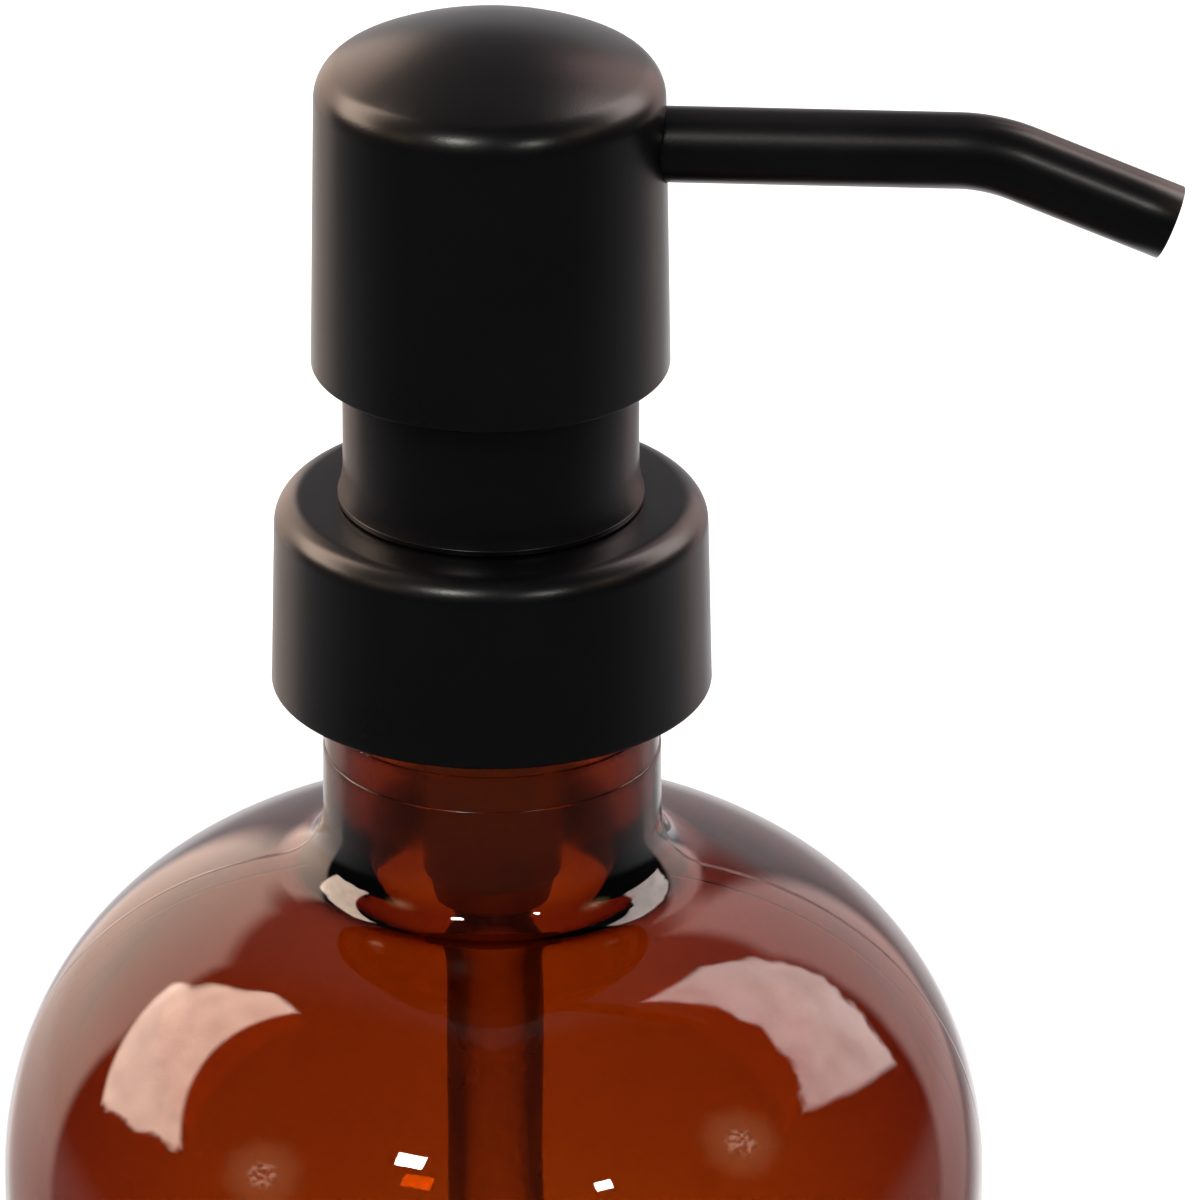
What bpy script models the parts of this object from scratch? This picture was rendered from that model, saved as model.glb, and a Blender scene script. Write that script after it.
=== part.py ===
"""Soap pump dispenser: a round-shouldered glass bottle with a metal-sheathed lotion pump.

Frame: +Z up along the bottle's axis, origin at the middle of the base, on the surface that the
bottle stands on. +X is the direction that the spout points in. Lengths are in metres.

The pump hangs in the neck by its housing's flange. From the rim upwards lie the gasket, the
housing's flange, the chaplet's flange, the plate of the screw cap and the plate of the collar
shell. Inside, soap rises through the dip tube, past the inlet ball, through the hollow piston rod
and stem, past the outlet ball and through the head to the spout. The return spring sits dry in
the chimney. Pieces that touch on the real object stand GAP apart.
"""
import math

import bmesh
import bpy
from mathutils import Vector

MM = 0.001

# ---- Driving dimensions -------------------------------------------------------------------------

GAP = 0.3 * MM                      # between two pieces that touch

# Bottle
BODY_RADIUS = 37.5 * MM
SIDE_HEIGHT = 118.5 * MM            # base to where the shoulder starts
SHOULDER_RISE = 26.9 * MM
SHOULDER_INNER_RADIUS = 9.48 * MM   # where the shoulder's curve is level
SHOULDER_POWER = 2.1                # 2 is an ellipse, more is squarer
NECK_RADIUS = 12.5 * MM
NECK_LENGTH = 23.3 * MM             # top of the shoulder to the rim
NECK_FLARE = 0.2 * MM
NECK_FILLET = 3.75 * MM
NECK_RING_DEPTH = 13.3 * MM         # rim to the faint ring
NECK_RING_HEIGHT = 0.22 * MM
NECK_RING_HALF_WIDTH = 0.8 * MM
NECK_WALL = 3.0 * MM
SIDE_WALL = 3.2 * MM
SHOULDER_WALL = 3.0 * MM
BASE_WALL = 3.5 * MM
BASE_CROWN = 1.0 * MM               # how much higher the inner floor is at the middle
HEEL_RADIUS = 4.5 * MM
RIM_ROUND = 0.6 * MM

# Thread of the bottle's finish
THREAD_PITCH = 4.233 * MM
THREAD_DEPTH = 1.25 * MM
THREAD_TURNS = 1.25
THREAD_BEAD = 2.1 * MM              # width at the root
THREAD_BEAD_CREST = 1.1 * MM
THREAD_TOP = 1.2 * MM               # rim to the top of the bead
THREAD_CLEARANCE = 0.35 * MM        # bead's crest to the cap's bore
CAP_THREAD_CLEARANCE = 0.45 * MM    # cap's ridge to the neck
CAP_RIDGE = 1.2 * MM                # width at the root
CAP_RIDGE_CREST = 0.8 * MM
CAP_THREAD_TURNS = 1.0
THREAD_FADE = 0.125                 # turns over which a ridge rises at each end
THREAD_END = 0.4                    # share of its height that it starts with
THREAD_SINK = 0.5                   # share of the height that its root is sunk by

# Closure and the flanges under it
GASKET_THICKNESS = 1.0 * MM
GASKET_WIDTH = 4.4 * MM
FLANGE_THICKNESS = 1.2 * MM
FLANGE_CLEARANCE = 0.5 * MM         # flange to the cap's bore
CHAPLET_THICKNESS = 1.0 * MM
CAP_WALL = 1.4 * MM
CAP_PLATE = 1.2 * MM
COLLAR_WALL = 0.5 * MM
COLLAR_HEIGHT = 14.95 * MM
COLLAR_DRAFT = 0.3 * MM             # how much wider the collar is at its foot
COLLAR_FILLET = 2.1 * MM
CAP_RECESS = 0.45 * MM              # cap's foot above the collar's foot

# Sleeve, chimney and head
SLEEVE_RADIUS = 11.1 * MM
SLEEVE_WALL = 0.5 * MM
SLEEVE_LIP = 0.4 * MM
SLEEVE_LIP_HEIGHT = 0.3 * MM
SLEEVE_FLARE_HEIGHT = 2.3 * MM       # the hollow flare above the lip
SLEEVE_OVERLAP = 3.0 * MM           # how far the sleeve reaches into the head at rest
CHIMNEY_WALL = 1.2 * MM
CHIMNEY_SETBACK = 0.5 * MM          # chimney's top below the sleeve's top
STROKE = 10.4 * MM
HEAD_STOP = 0.5 * MM                # head's foot to the collar when pressed
CEILING_CLEARANCE = 0.4 * MM        # sleeve's top to the head's ceiling when pressed
HEAD_WALL = 0.6 * MM
HEAD_DRAFT = 0.34 * MM              # how much wider the head is at its foot
HEAD_FILLET = 3.0 * MM
DOME_RADIUS = 25.5 * MM
CORE_SKIRT = 0.58 * MM              # core's thinnest wall round the sleeve
CORE_CLEARANCE = 0.5 * MM           # sleeve to the core's skirt
CORE_RECESS = 2.0 * MM              # core's foot above the head's foot
SPOUT_FLOOR = 0.95 * MM             # core's wall between its ceiling and the spout's socket
HEAD_CROWN = 5.9 * MM               # top of the spout to the top of the dome
BOSS_WALL = 0.9 * MM
BOSS_STOP = 1.5 * MM                # boss to the chimney's floor when pressed
STEM_SOCKET_DROP = 7.1 * MM         # spout's axis to the end of the stem's socket

# Spout
SPOUT_RADIUS = 2.85 * MM
SPOUT_WALL = 0.5 * MM
SPOUT_STRAIGHT = 34.6 * MM          # bottle's axis to the start of the bend
SPOUT_BEND = math.radians(22.0)
SPOUT_BEND_RADIUS = 12.8 * MM
SPOUT_TIP = 11.9 * MM               # straight stretch after the bend
SPOUT_SOCKET_START = 6.0 * MM       # bottle's axis to the socket's floor
LINER_WALL = 0.7 * MM
LINER_RECESS = 0.8 * MM             # liner's end inside the spout's end

# Pump
BARREL_WALL = 0.8 * MM
BARREL_FLOOR = 1.2 * MM
STEM_RADIUS = 3.0 * MM
STEM_BORE = 1.6 * MM
PISTON_WALL = 0.85 * MM             # round the stem, at its lips
SEAL_THICKNESS = 0.8 * MM
PISTON_HEIGHT = 7.0 * MM
PISTON_FLOOR = 0.8 * MM
PISTON_LIP = 1.2 * MM
PISTON_WAIST = 0.35 * MM            # how much slimmer the piston is between its lips
ROD_FLANGE = 1.0 * MM
ROD_WALL = 0.6 * MM
ROD_INSERTION = 4.6 * MM            # how far the rod reaches into the stem
ROD_STOP = 0.6 * MM                 # rod's flange to the cage when pressed
CAGE_PLATE = 0.8 * MM
CAGE_HOLES = 4
CAGE_HOLE_RADIUS = 0.6 * MM
INLET_BALL_RADIUS = 2.0 * MM
INLET_SEAT_RADIUS = 1.4 * MM
INLET_LIFT = 1.2 * MM
OUTLET_BALL_RADIUS = 1.75 * MM
OUTLET_SEAT_RADIUS = 1.1 * MM
OUTLET_SEAT_LENGTH = 1.0 * MM
OUTLET_LIFT = 1.0 * MM
OUTLET_CHAMBER_CLEARANCE = 0.4 * MM
WIRE_RADIUS = 0.45 * MM
SPRING_CLEARANCE = 0.95 * MM        # boss to the inside of the coils
SPRING_TURNS = 7.5
DIP_TUBE_RADIUS = 3.6 * MM
DIP_TUBE_WALL = 0.8 * MM
DIP_TUBE_SOCKET = 4.0 * MM
DIP_TUBE_FOOT = 1.5 * MM            # its lowest point above the bottle's inner floor
DIP_TUBE_CUT = math.radians(35.0)
SOCKET_WALL = 0.8 * MM

# Facets round a full turn
SIDES = 32
FINE_SIDES = 24
TUBE_SIDES = 16

# ---- Derived sizes ------------------------------------------------------------------------------

# Radii of the neck's stack, from the glass outwards
BORE_RADIUS = NECK_RADIUS - NECK_WALL
THREAD_RADIUS = NECK_RADIUS + THREAD_DEPTH
CAP_BORE = THREAD_RADIUS + THREAD_CLEARANCE
CAP_RADIUS = CAP_BORE + CAP_WALL
COLLAR_RADIUS = CAP_RADIUS + GAP + COLLAR_WALL
FLANGE_RADIUS = CAP_BORE - FLANGE_CLEARANCE

# Heights from the base plane, upwards through the closure
NECK_Z = SIDE_HEIGHT + SHOULDER_RISE
RIM_Z = NECK_Z + NECK_LENGTH
GASKET_Z = RIM_Z + GAP
FLANGE_Z = GASKET_Z + GASKET_THICKNESS + GAP
FLANGE_TOP_Z = FLANGE_Z + FLANGE_THICKNESS
CHAPLET_Z = FLANGE_TOP_Z + GAP
CHIMNEY_FLOOR_Z = CHAPLET_Z + CHAPLET_THICKNESS
CAP_PLATE_Z = CHIMNEY_FLOOR_Z + GAP
COLLAR_TOP_Z = CAP_PLATE_Z + CAP_PLATE + GAP + COLLAR_WALL
COLLAR_Z = COLLAR_TOP_Z - COLLAR_HEIGHT

# Radii and heights of the sleeve and the head
CHIMNEY_RADIUS = SLEEVE_RADIUS - SLEEVE_WALL - GAP
CHIMNEY_BORE = CHIMNEY_RADIUS - CHIMNEY_WALL
CLOSURE_HOLE = CHIMNEY_RADIUS + GAP
HEAD_RADIUS = SLEEVE_RADIUS + CORE_CLEARANCE + CORE_SKIRT + GAP + HEAD_WALL
SLEEVE_Z = COLLAR_TOP_Z + GAP
HEAD_Z = COLLAR_TOP_Z + HEAD_STOP + STROKE
SLEEVE_TOP_Z = HEAD_Z + SLEEVE_OVERLAP
CHIMNEY_TOP_Z = SLEEVE_TOP_Z - CHIMNEY_SETBACK
CEILING_Z = SLEEVE_TOP_Z + STROKE + CEILING_CLEARANCE
SPOUT_SOCKET = SPOUT_RADIUS + GAP
SPOUT_Z = CEILING_Z + SPOUT_FLOOR + SPOUT_SOCKET
APEX_Z = SPOUT_Z + SPOUT_RADIUS + HEAD_CROWN
STEM_SOCKET = STEM_RADIUS + GAP
BOSS_RADIUS = STEM_SOCKET + BOSS_WALL
BOSS_Z = CHIMNEY_FLOOR_Z + STROKE + BOSS_STOP
STEM_SOCKET_TOP_Z = SPOUT_Z - STEM_SOCKET_DROP
LINER_RADIUS = SPOUT_RADIUS - SPOUT_WALL - GAP
LINER_BORE = LINER_RADIUS - LINER_WALL
SPOUT_START = SPOUT_SOCKET_START + GAP
SPRING_RADIUS = BOSS_RADIUS + SPRING_CLEARANCE + WIRE_RADIUS

# Heights of the pump, downwards from the housing's flange
PISTON_RADIUS = STEM_SOCKET + PISTON_WALL
BARREL_BORE = PISTON_RADIUS + GAP
BARREL_RADIUS = BARREL_BORE + BARREL_WALL
SEAL_Z = FLANGE_TOP_Z - SEAL_THICKNESS
PISTON_TOP_Z = SEAL_Z - GAP
PISTON_Z = PISTON_TOP_Z - PISTON_HEIGHT
ROD_FLANGE_TOP_Z = PISTON_Z - GAP
ROD_Z = ROD_FLANGE_TOP_Z - ROD_FLANGE
CAGE_TOP_Z = ROD_Z - STROKE - ROD_STOP
CAGE_PLATE_Z = CAGE_TOP_Z - CAGE_PLATE
INLET_BALL_Z = CAGE_PLATE_Z - GAP - INLET_LIFT - INLET_BALL_RADIUS
BARREL_FLOOR_Z = INLET_BALL_Z - math.sqrt((INLET_BALL_RADIUS + GAP) ** 2 - INLET_SEAT_RADIUS ** 2)
TUBE_SOCKET_TOP_Z = BARREL_FLOOR_Z - BARREL_FLOOR
TUBE_SOCKET_Z = TUBE_SOCKET_TOP_Z - DIP_TUBE_SOCKET
TUBE_SOCKET = DIP_TUBE_RADIUS + GAP
STEM_Z = PISTON_Z + PISTON_FLOOR + GAP
STEM_TOP_Z = STEM_SOCKET_TOP_Z - GAP
ROD_RADIUS = STEM_BORE - GAP
ROD_BORE = ROD_RADIUS - ROD_WALL
ROD_TOP_Z = STEM_Z + ROD_INSERTION
OUTLET_CHAMBER = OUTLET_BALL_RADIUS + OUTLET_CHAMBER_CLEARANCE
OUTLET_BALL_Z = STEM_SOCKET_TOP_Z - GAP - OUTLET_LIFT - OUTLET_BALL_RADIUS
OUTLET_SEAT_Z = OUTLET_BALL_Z - math.sqrt((OUTLET_BALL_RADIUS + GAP) ** 2 - OUTLET_SEAT_RADIUS ** 2)


# ---- Modelling helpers --------------------------------------------------------------------------

def arc(centre, radius, start, end, steps):
    """Points (r, z) on a round stretch of an outline, from start to end in degrees."""
    angles = [math.radians(start + (end - start) * i / steps) for i in range(steps + 1)]
    return [(centre[0] + radius * math.cos(a), centre[1] + radius * math.sin(a)) for a in angles]


def rounded_corner(start, corner, end, steps):
    """Points of a curve from start to end that leaves and arrives along the lines to corner."""
    points = []
    for i in range(steps + 1):
        t = i / steps
        weights = ((1 - t) ** 2, 2 * t * (1 - t), t ** 2)
        points.append(tuple(sum(w * p[k] for w, p in zip(weights, (start, corner, end)))
                            for k in (0, 1)))
    return points


def material(name, colour, roughness, metallic=0.0, transmission=0.0):
    """A Principled material."""
    made = bpy.data.materials.new(name)
    made.use_nodes = True
    shader = made.node_tree.nodes["Principled BSDF"]
    shader.inputs["Base Color"].default_value = (*colour, 1.0)
    shader.inputs["Roughness"].default_value = roughness
    shader.inputs["Metallic"].default_value = metallic
    shader.inputs["Transmission Weight"].default_value = transmission
    made.diffuse_color = (*colour, 1.0)
    return made


def add_piece(name, bm, finish, carrier=None):
    """Turn a bmesh into a named, smooth-shaded object that hangs from its carrier."""
    bmesh.ops.recalc_face_normals(bm, faces=bm.faces)
    mesh = bpy.data.meshes.new(name)
    bm.to_mesh(mesh)
    bm.free()
    mesh.shade_smooth()
    mesh.set_sharp_from_angle(angle=math.radians(35.0))
    mesh.materials.append(finish)
    piece = bpy.data.objects.new(name, mesh)
    bpy.context.scene.collection.objects.link(piece)
    if carrier is not None:
        piece.parent = carrier
        piece.location = -carrier.location
    return piece


def add_carrier(name, height):
    """An empty on the bottle's axis, which carries the pieces of one moving body."""
    carrier = bpy.data.objects.new(name, None)
    carrier.empty_display_size = BODY_RADIUS
    carrier.location = (0.0, 0.0, height)
    bpy.context.scene.collection.objects.link(carrier)
    return carrier


def turned(outline, sides, closed=True):
    """Spin an outline of (r, z) points round the Z axis. An open one has both ends on the axis."""
    bm = bmesh.new()
    points = [bm.verts.new((r, 0.0, z)) for r, z in outline]
    edges = [bm.edges.new(pair) for pair in zip(points, points[1:])]
    if closed:
        edges.append(bm.edges.new((points[-1], points[0])))
    bmesh.ops.spin(bm, geom=points + edges, cent=(0, 0, 0), axis=(0, 0, 1),
                   angle=math.tau, steps=sides, use_merge=True)
    bmesh.ops.remove_doubles(bm, verts=bm.verts, dist=0.001 * MM)
    return bm


def skin(bm, rings):
    """Cover a row of rings, each a list of as many points, with faces. Returns their vertices."""
    rows = [[bm.verts.new(point) for point in ring] for ring in rings]
    for row, following in zip(rows, rows[1:]):
        for i, j in zip(range(len(row)), [*range(1, len(row)), 0]):
            bm.faces.new((row[i], row[j], following[j], following[i]))
    return rows


def ball(radius, height):
    """A ball on the bottle's axis."""
    bm = bmesh.new()
    bmesh.ops.create_uvsphere(bm, u_segments=TUBE_SIDES, v_segments=TUBE_SIDES // 2, radius=radius)
    bmesh.ops.translate(bm, verts=bm.verts, vec=(0.0, 0.0, height))
    return bm


def bar(start, end, radius, sides):
    """A plain cylinder between two points."""
    bm = bmesh.new()
    start, end = Vector(start), Vector(end)
    bmesh.ops.create_cone(bm, cap_ends=True, segments=sides, radius1=radius, radius2=radius,
                          depth=(end - start).length)
    turn = Vector((0, 0, 1)).rotation_difference(end - start)
    bmesh.ops.rotate(bm, verts=bm.verts, cent=(0, 0, 0), matrix=turn.to_matrix())
    bmesh.ops.translate(bm, verts=bm.verts, vec=(start + end) / 2)
    return bm


def combine(piece, tool_mesh, name, operation):
    """Unite a piece with a hidden helper solid, or cut the helper out of it."""
    bmesh.ops.recalc_face_normals(tool_mesh, faces=tool_mesh.faces)
    mesh = bpy.data.meshes.new(name)
    tool_mesh.to_mesh(mesh)
    tool_mesh.free()
    tool = bpy.data.objects.new(name, mesh)
    bpy.context.scene.collection.objects.link(tool)
    tool.hide_render = True
    tool.display_type = "WIRE"
    boolean = piece.modifiers.new(name, "BOOLEAN")
    boolean.operation = operation
    boolean.object = tool


def helix_ridge(root, crest, root_width, crest_width, first_turn, turns, height):
    """A right-hand thread ridge. height(turn) is the height of its middle at that turn."""
    steps = round(turns * SIDES)

    def ring(step):
        done = turns * step / steps
        fade = min(1.0, done / THREAD_FADE, (turns - done) / THREAD_FADE)
        top = root + (crest - root) * (THREAD_END + (1.0 - THREAD_END) * fade)
        turn = first_turn + done
        across = Vector((math.cos(math.tau * turn), math.sin(math.tau * turn), 0.0))
        middle = Vector((0.0, 0.0, height(turn)))
        half_root = Vector((0.0, 0.0, root_width / 2))
        half_crest = Vector((0.0, 0.0, crest_width / 2))
        return [middle + across * root - half_root, middle + across * top - half_crest,
                middle + across * top + half_crest, middle + across * root + half_root]

    bm = bmesh.new()
    rows = skin(bm, [ring(step) for step in range(steps + 1)])
    bm.faces.new(rows[0])
    bm.faces.new(reversed(rows[-1]))
    return bm


# ---- Bottle -------------------------------------------------------------------------------------

def shoulder(inner_radius, outer_radius, rise, first, last, steps):
    """Points on the shoulder's curve, from the quarter's share first to last (0 is the side)."""
    points = []
    for i in range(steps + 1):
        angle = math.pi / 2 * (first * (1 - i / steps) + last * i / steps)
        across = math.cos(angle) ** (2 / SHOULDER_POWER)
        up = math.sin(angle) ** (2 / SHOULDER_POWER)
        points.append((inner_radius + (outer_radius - inner_radius) * across,
                       SIDE_HEIGHT + rise * up))
    return points


def shoulder_height(radius, inner_radius, outer_radius, rise):
    """Height of the shoulder's curve at a radius."""
    across = (radius - inner_radius) / (outer_radius - inner_radius)
    return SIDE_HEIGHT + rise * (1 - across ** SHOULDER_POWER) ** (1 / SHOULDER_POWER)


def shoulder_with_fillet(neck_radius, inner_radius, outer_radius, rise, fillet):
    """Points from the neck's foot, round the concave fillet, down the shoulder to the side."""
    foot = neck_radius + fillet
    height = shoulder_height(foot, inner_radius, outer_radius, rise)
    nearby = shoulder_height(foot - 0.1 * MM, inner_radius, outer_radius, rise)
    slope = (nearby - height) / (0.1 * MM)
    corner = (neck_radius, height + slope * fillet)
    points = rounded_corner((neck_radius, corner[1] + fillet), corner, (foot, height), 4)
    share = math.acos(((foot - inner_radius) / (outer_radius - inner_radius))
                      ** (SHOULDER_POWER / 2)) / (math.pi / 2)
    return points + shoulder(inner_radius, outer_radius, rise, share, 0.0, 9)[1:]


def thread_height(turn):
    """Height of the middle of the bottle's thread bead. It starts low and climbs one pitch a turn."""
    return RIM_Z - THREAD_TOP - THREAD_BEAD / 2 + (turn - THREAD_TURNS) * THREAD_PITCH


def make_bottle(glass):
    inner_radius = BODY_RADIUS - SIDE_WALL
    inner_heel = HEEL_RADIUS - SIDE_WALL
    ring_z = RIM_Z - NECK_RING_DEPTH
    inside = [(0.0, BASE_WALL + BASE_CROWN),
              ((inner_radius - inner_heel) * 0.6, BASE_WALL + BASE_CROWN * 0.6)]
    inside += arc((inner_radius - inner_heel, BASE_WALL + inner_heel), inner_heel, -90, 0, 3)
    inner_shoulder = shoulder_with_fillet(BORE_RADIUS, SHOULDER_INNER_RADIUS - SIDE_WALL,
                                          inner_radius, SHOULDER_RISE - SHOULDER_WALL,
                                          NECK_FILLET / 2)
    inside += reversed(inner_shoulder)
    inside += arc((BORE_RADIUS + RIM_ROUND, RIM_Z - RIM_ROUND), RIM_ROUND, 180, 90, 2)
    outside = arc((NECK_RADIUS - RIM_ROUND, RIM_Z - RIM_ROUND), RIM_ROUND, 90, 0, 2)
    outside += [(NECK_RADIUS, ring_z + NECK_RING_HALF_WIDTH),
                (NECK_RADIUS + NECK_RING_HEIGHT, ring_z + NECK_RING_HALF_WIDTH / 3),
                (NECK_RADIUS + NECK_RING_HEIGHT, ring_z - NECK_RING_HALF_WIDTH / 3),
                (NECK_RADIUS, ring_z - NECK_RING_HALF_WIDTH)]
    outside += shoulder_with_fillet(NECK_RADIUS + NECK_FLARE, SHOULDER_INNER_RADIUS, BODY_RADIUS,
                                    SHOULDER_RISE, NECK_FILLET)
    outside += arc((BODY_RADIUS - HEEL_RADIUS, HEEL_RADIUS), HEEL_RADIUS, 0, -90, 4)
    outside += [(0.0, 0.0)]
    bottle = add_piece("bottle", turned(inside + outside, SIDES, closed=False), glass)
    thread = helix_ridge(NECK_RADIUS - THREAD_SINK * THREAD_DEPTH, THREAD_RADIUS, THREAD_BEAD,
                         THREAD_BEAD_CREST, 0.0, THREAD_TURNS, thread_height)
    combine(bottle, thread, "bottle_thread", "UNION")


# ---- Closure ------------------------------------------------------------------------------------

def collar_outline(inset):
    """The collar's outer side, inset by a distance, from its top face down to its foot."""
    centre = (COLLAR_RADIUS - COLLAR_FILLET, COLLAR_TOP_Z - COLLAR_FILLET)
    return arc(centre, COLLAR_FILLET - inset, 90, 0, 4)


def make_collar_shell(metal, carrier):
    foot = COLLAR_RADIUS + COLLAR_DRAFT
    outline = [(CLOSURE_HOLE, COLLAR_TOP_Z)] + collar_outline(0.0)
    outline += [(foot, COLLAR_Z + COLLAR_WALL / 2), (foot - COLLAR_WALL / 3, COLLAR_Z),
                (foot - COLLAR_WALL, COLLAR_Z)]
    outline += reversed(collar_outline(COLLAR_WALL))
    outline += [(CLOSURE_HOLE, COLLAR_TOP_Z - COLLAR_WALL)]
    add_piece("collar_shell", turned(outline, SIDES), metal, carrier)


def make_threaded_cap(plastic, carrier):
    foot_z = COLLAR_Z + CAP_RECESS
    outline = [(CLOSURE_HOLE, CAP_PLATE_Z + CAP_PLATE)] + collar_outline(COLLAR_WALL + GAP)
    outline += [(CAP_RADIUS, foot_z), (CAP_BORE, foot_z), (CAP_BORE, CAP_PLATE_Z),
                (CLOSURE_HOLE, CAP_PLATE_Z)]
    cap = add_piece("threaded_cap", turned(outline, SIDES), plastic, carrier)

    def ridge_height(turn):
        return thread_height(turn) - THREAD_PITCH / 2

    lowest = foot_z + CAP_RIDGE / 2 + GAP
    first_turn = (lowest - ridge_height(0.0)) / THREAD_PITCH
    ridge = helix_ridge(CAP_BORE + THREAD_SINK * CAP_WALL, NECK_RADIUS + CAP_THREAD_CLEARANCE, CAP_RIDGE,
                        CAP_RIDGE_CREST, first_turn, CAP_THREAD_TURNS, ridge_height)
    combine(cap, ridge, "cap_thread", "UNION")


# ---- Fixed pieces of the pump -------------------------------------------------------------------

def make_gasket(rubber, carrier):
    outer = FLANGE_RADIUS - GAP
    inner = outer - GASKET_WIDTH
    top = GASKET_Z + GASKET_THICKNESS
    outline = [(inner, GASKET_Z), (outer, GASKET_Z), (outer, top), (inner, top)]
    add_piece("gasket", turned(outline, SIDES), rubber, carrier)


def make_pump_housing(plastic, carrier):
    taper = BARREL_RADIUS - TUBE_SOCKET - SOCKET_WALL
    outline = [(BARREL_BORE, FLANGE_TOP_Z), (FLANGE_RADIUS, FLANGE_TOP_Z),
               (FLANGE_RADIUS, FLANGE_Z), (BARREL_RADIUS, FLANGE_Z),
               (BARREL_RADIUS, BARREL_FLOOR_Z), (BARREL_RADIUS - taper, TUBE_SOCKET_TOP_Z),
               (TUBE_SOCKET + SOCKET_WALL, TUBE_SOCKET_Z), (TUBE_SOCKET, TUBE_SOCKET_Z),
               (TUBE_SOCKET, TUBE_SOCKET_TOP_Z), (INLET_SEAT_RADIUS, TUBE_SOCKET_TOP_Z),
               (INLET_SEAT_RADIUS, BARREL_FLOOR_Z), (BARREL_BORE, BARREL_FLOOR_Z)]
    add_piece("pump_housing", turned(outline, FINE_SIDES), plastic, carrier)


def make_chaplet(plastic, carrier):
    guide = STEM_RADIUS + GAP
    outline = [(guide, CHIMNEY_FLOOR_Z), (CHIMNEY_BORE, CHIMNEY_FLOOR_Z),
               (CHIMNEY_BORE, CHIMNEY_TOP_Z), (CHIMNEY_RADIUS, CHIMNEY_TOP_Z),
               (CHIMNEY_RADIUS, CHIMNEY_FLOOR_Z), (FLANGE_RADIUS, CHIMNEY_FLOOR_Z),
               (FLANGE_RADIUS, CHAPLET_Z), (guide, CHAPLET_Z)]
    add_piece("chaplet", turned(outline, FINE_SIDES), plastic, carrier)


def make_stem_seal(rubber, carrier):
    inner = STEM_RADIUS + GAP
    outline = [(inner, SEAL_Z), (PISTON_RADIUS, SEAL_Z), (PISTON_RADIUS, FLANGE_TOP_Z),
               (inner, FLANGE_TOP_Z)]
    add_piece("stem_seal", turned(outline, FINE_SIDES), rubber, carrier)


def make_sleeve_shell(metal, carrier):
    """A tube that flares out at its foot and stands there on a small upright lip."""
    inner = SLEEVE_RADIUS - SLEEVE_WALL
    lip = SLEEVE_RADIUS + SLEEVE_LIP
    lip_top = SLEEVE_Z + SLEEVE_LIP_HEIGHT
    flare_radius = (SLEEVE_FLARE_HEIGHT ** 2 + SLEEVE_LIP ** 2) / (2 * SLEEVE_LIP)
    flare_angle = math.degrees(math.asin(SLEEVE_FLARE_HEIGHT / flare_radius))
    centre = (SLEEVE_RADIUS + flare_radius, lip_top + SLEEVE_FLARE_HEIGHT)
    outline = [(inner, SLEEVE_Z), (lip - SLEEVE_LIP / 3, SLEEVE_Z), (lip, SLEEVE_Z + SLEEVE_LIP / 3)]
    outline += arc(centre, flare_radius, 180 + flare_angle, 180, 4)
    outline += [(SLEEVE_RADIUS, SLEEVE_TOP_Z), (inner, SLEEVE_TOP_Z)]
    add_piece("sleeve_shell", turned(outline, SIDES), metal, carrier)


def make_dip_tube(plastic, carrier):
    """A tube whose foot is cut on a slant, so that it can't seal itself against the floor."""
    bore = DIP_TUBE_RADIUS - DIP_TUBE_WALL
    low = BASE_WALL + BASE_CROWN + DIP_TUBE_FOOT + DIP_TUBE_RADIUS * math.tan(DIP_TUBE_CUT)
    top = TUBE_SOCKET_TOP_Z - GAP
    bm = turned([(bore, low), (DIP_TUBE_RADIUS, low), (DIP_TUBE_RADIUS, top), (bore, top)],
                TUBE_SIDES)
    for vert in bm.verts:
        if vert.co.z < (low + top) / 2:
            vert.co.z += vert.co.x * math.tan(DIP_TUBE_CUT)
    add_piece("dip_tube", bm, plastic, carrier)


def make_ball_cage(plastic, carrier):
    """A cup that stands upside down on the barrel's floor, with holes through its top."""
    inner = PISTON_RADIUS - BARREL_WALL
    foot = BARREL_FLOOR_Z + GAP
    outline = [(0.0, CAGE_TOP_Z), (PISTON_RADIUS, CAGE_TOP_Z), (PISTON_RADIUS, foot),
               (inner, foot), (inner, CAGE_PLATE_Z), (0.0, CAGE_PLATE_Z)]
    cage = add_piece("ball_cage", turned(outline, FINE_SIDES, closed=False), plastic, carrier)
    reach = inner - CAGE_HOLE_RADIUS - GAP
    for i in range(CAGE_HOLES):
        angle = math.tau * (i + 0.5) / CAGE_HOLES
        across = Vector((reach * math.cos(angle), reach * math.sin(angle), 0.0))
        hole = bar(across + Vector((0, 0, CAGE_PLATE_Z - CAGE_PLATE)),
                   across + Vector((0, 0, CAGE_TOP_Z + CAGE_PLATE)), CAGE_HOLE_RADIUS, 8)
        combine(cage, hole, f"cage_hole_{i + 1}", "DIFFERENCE")


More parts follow.
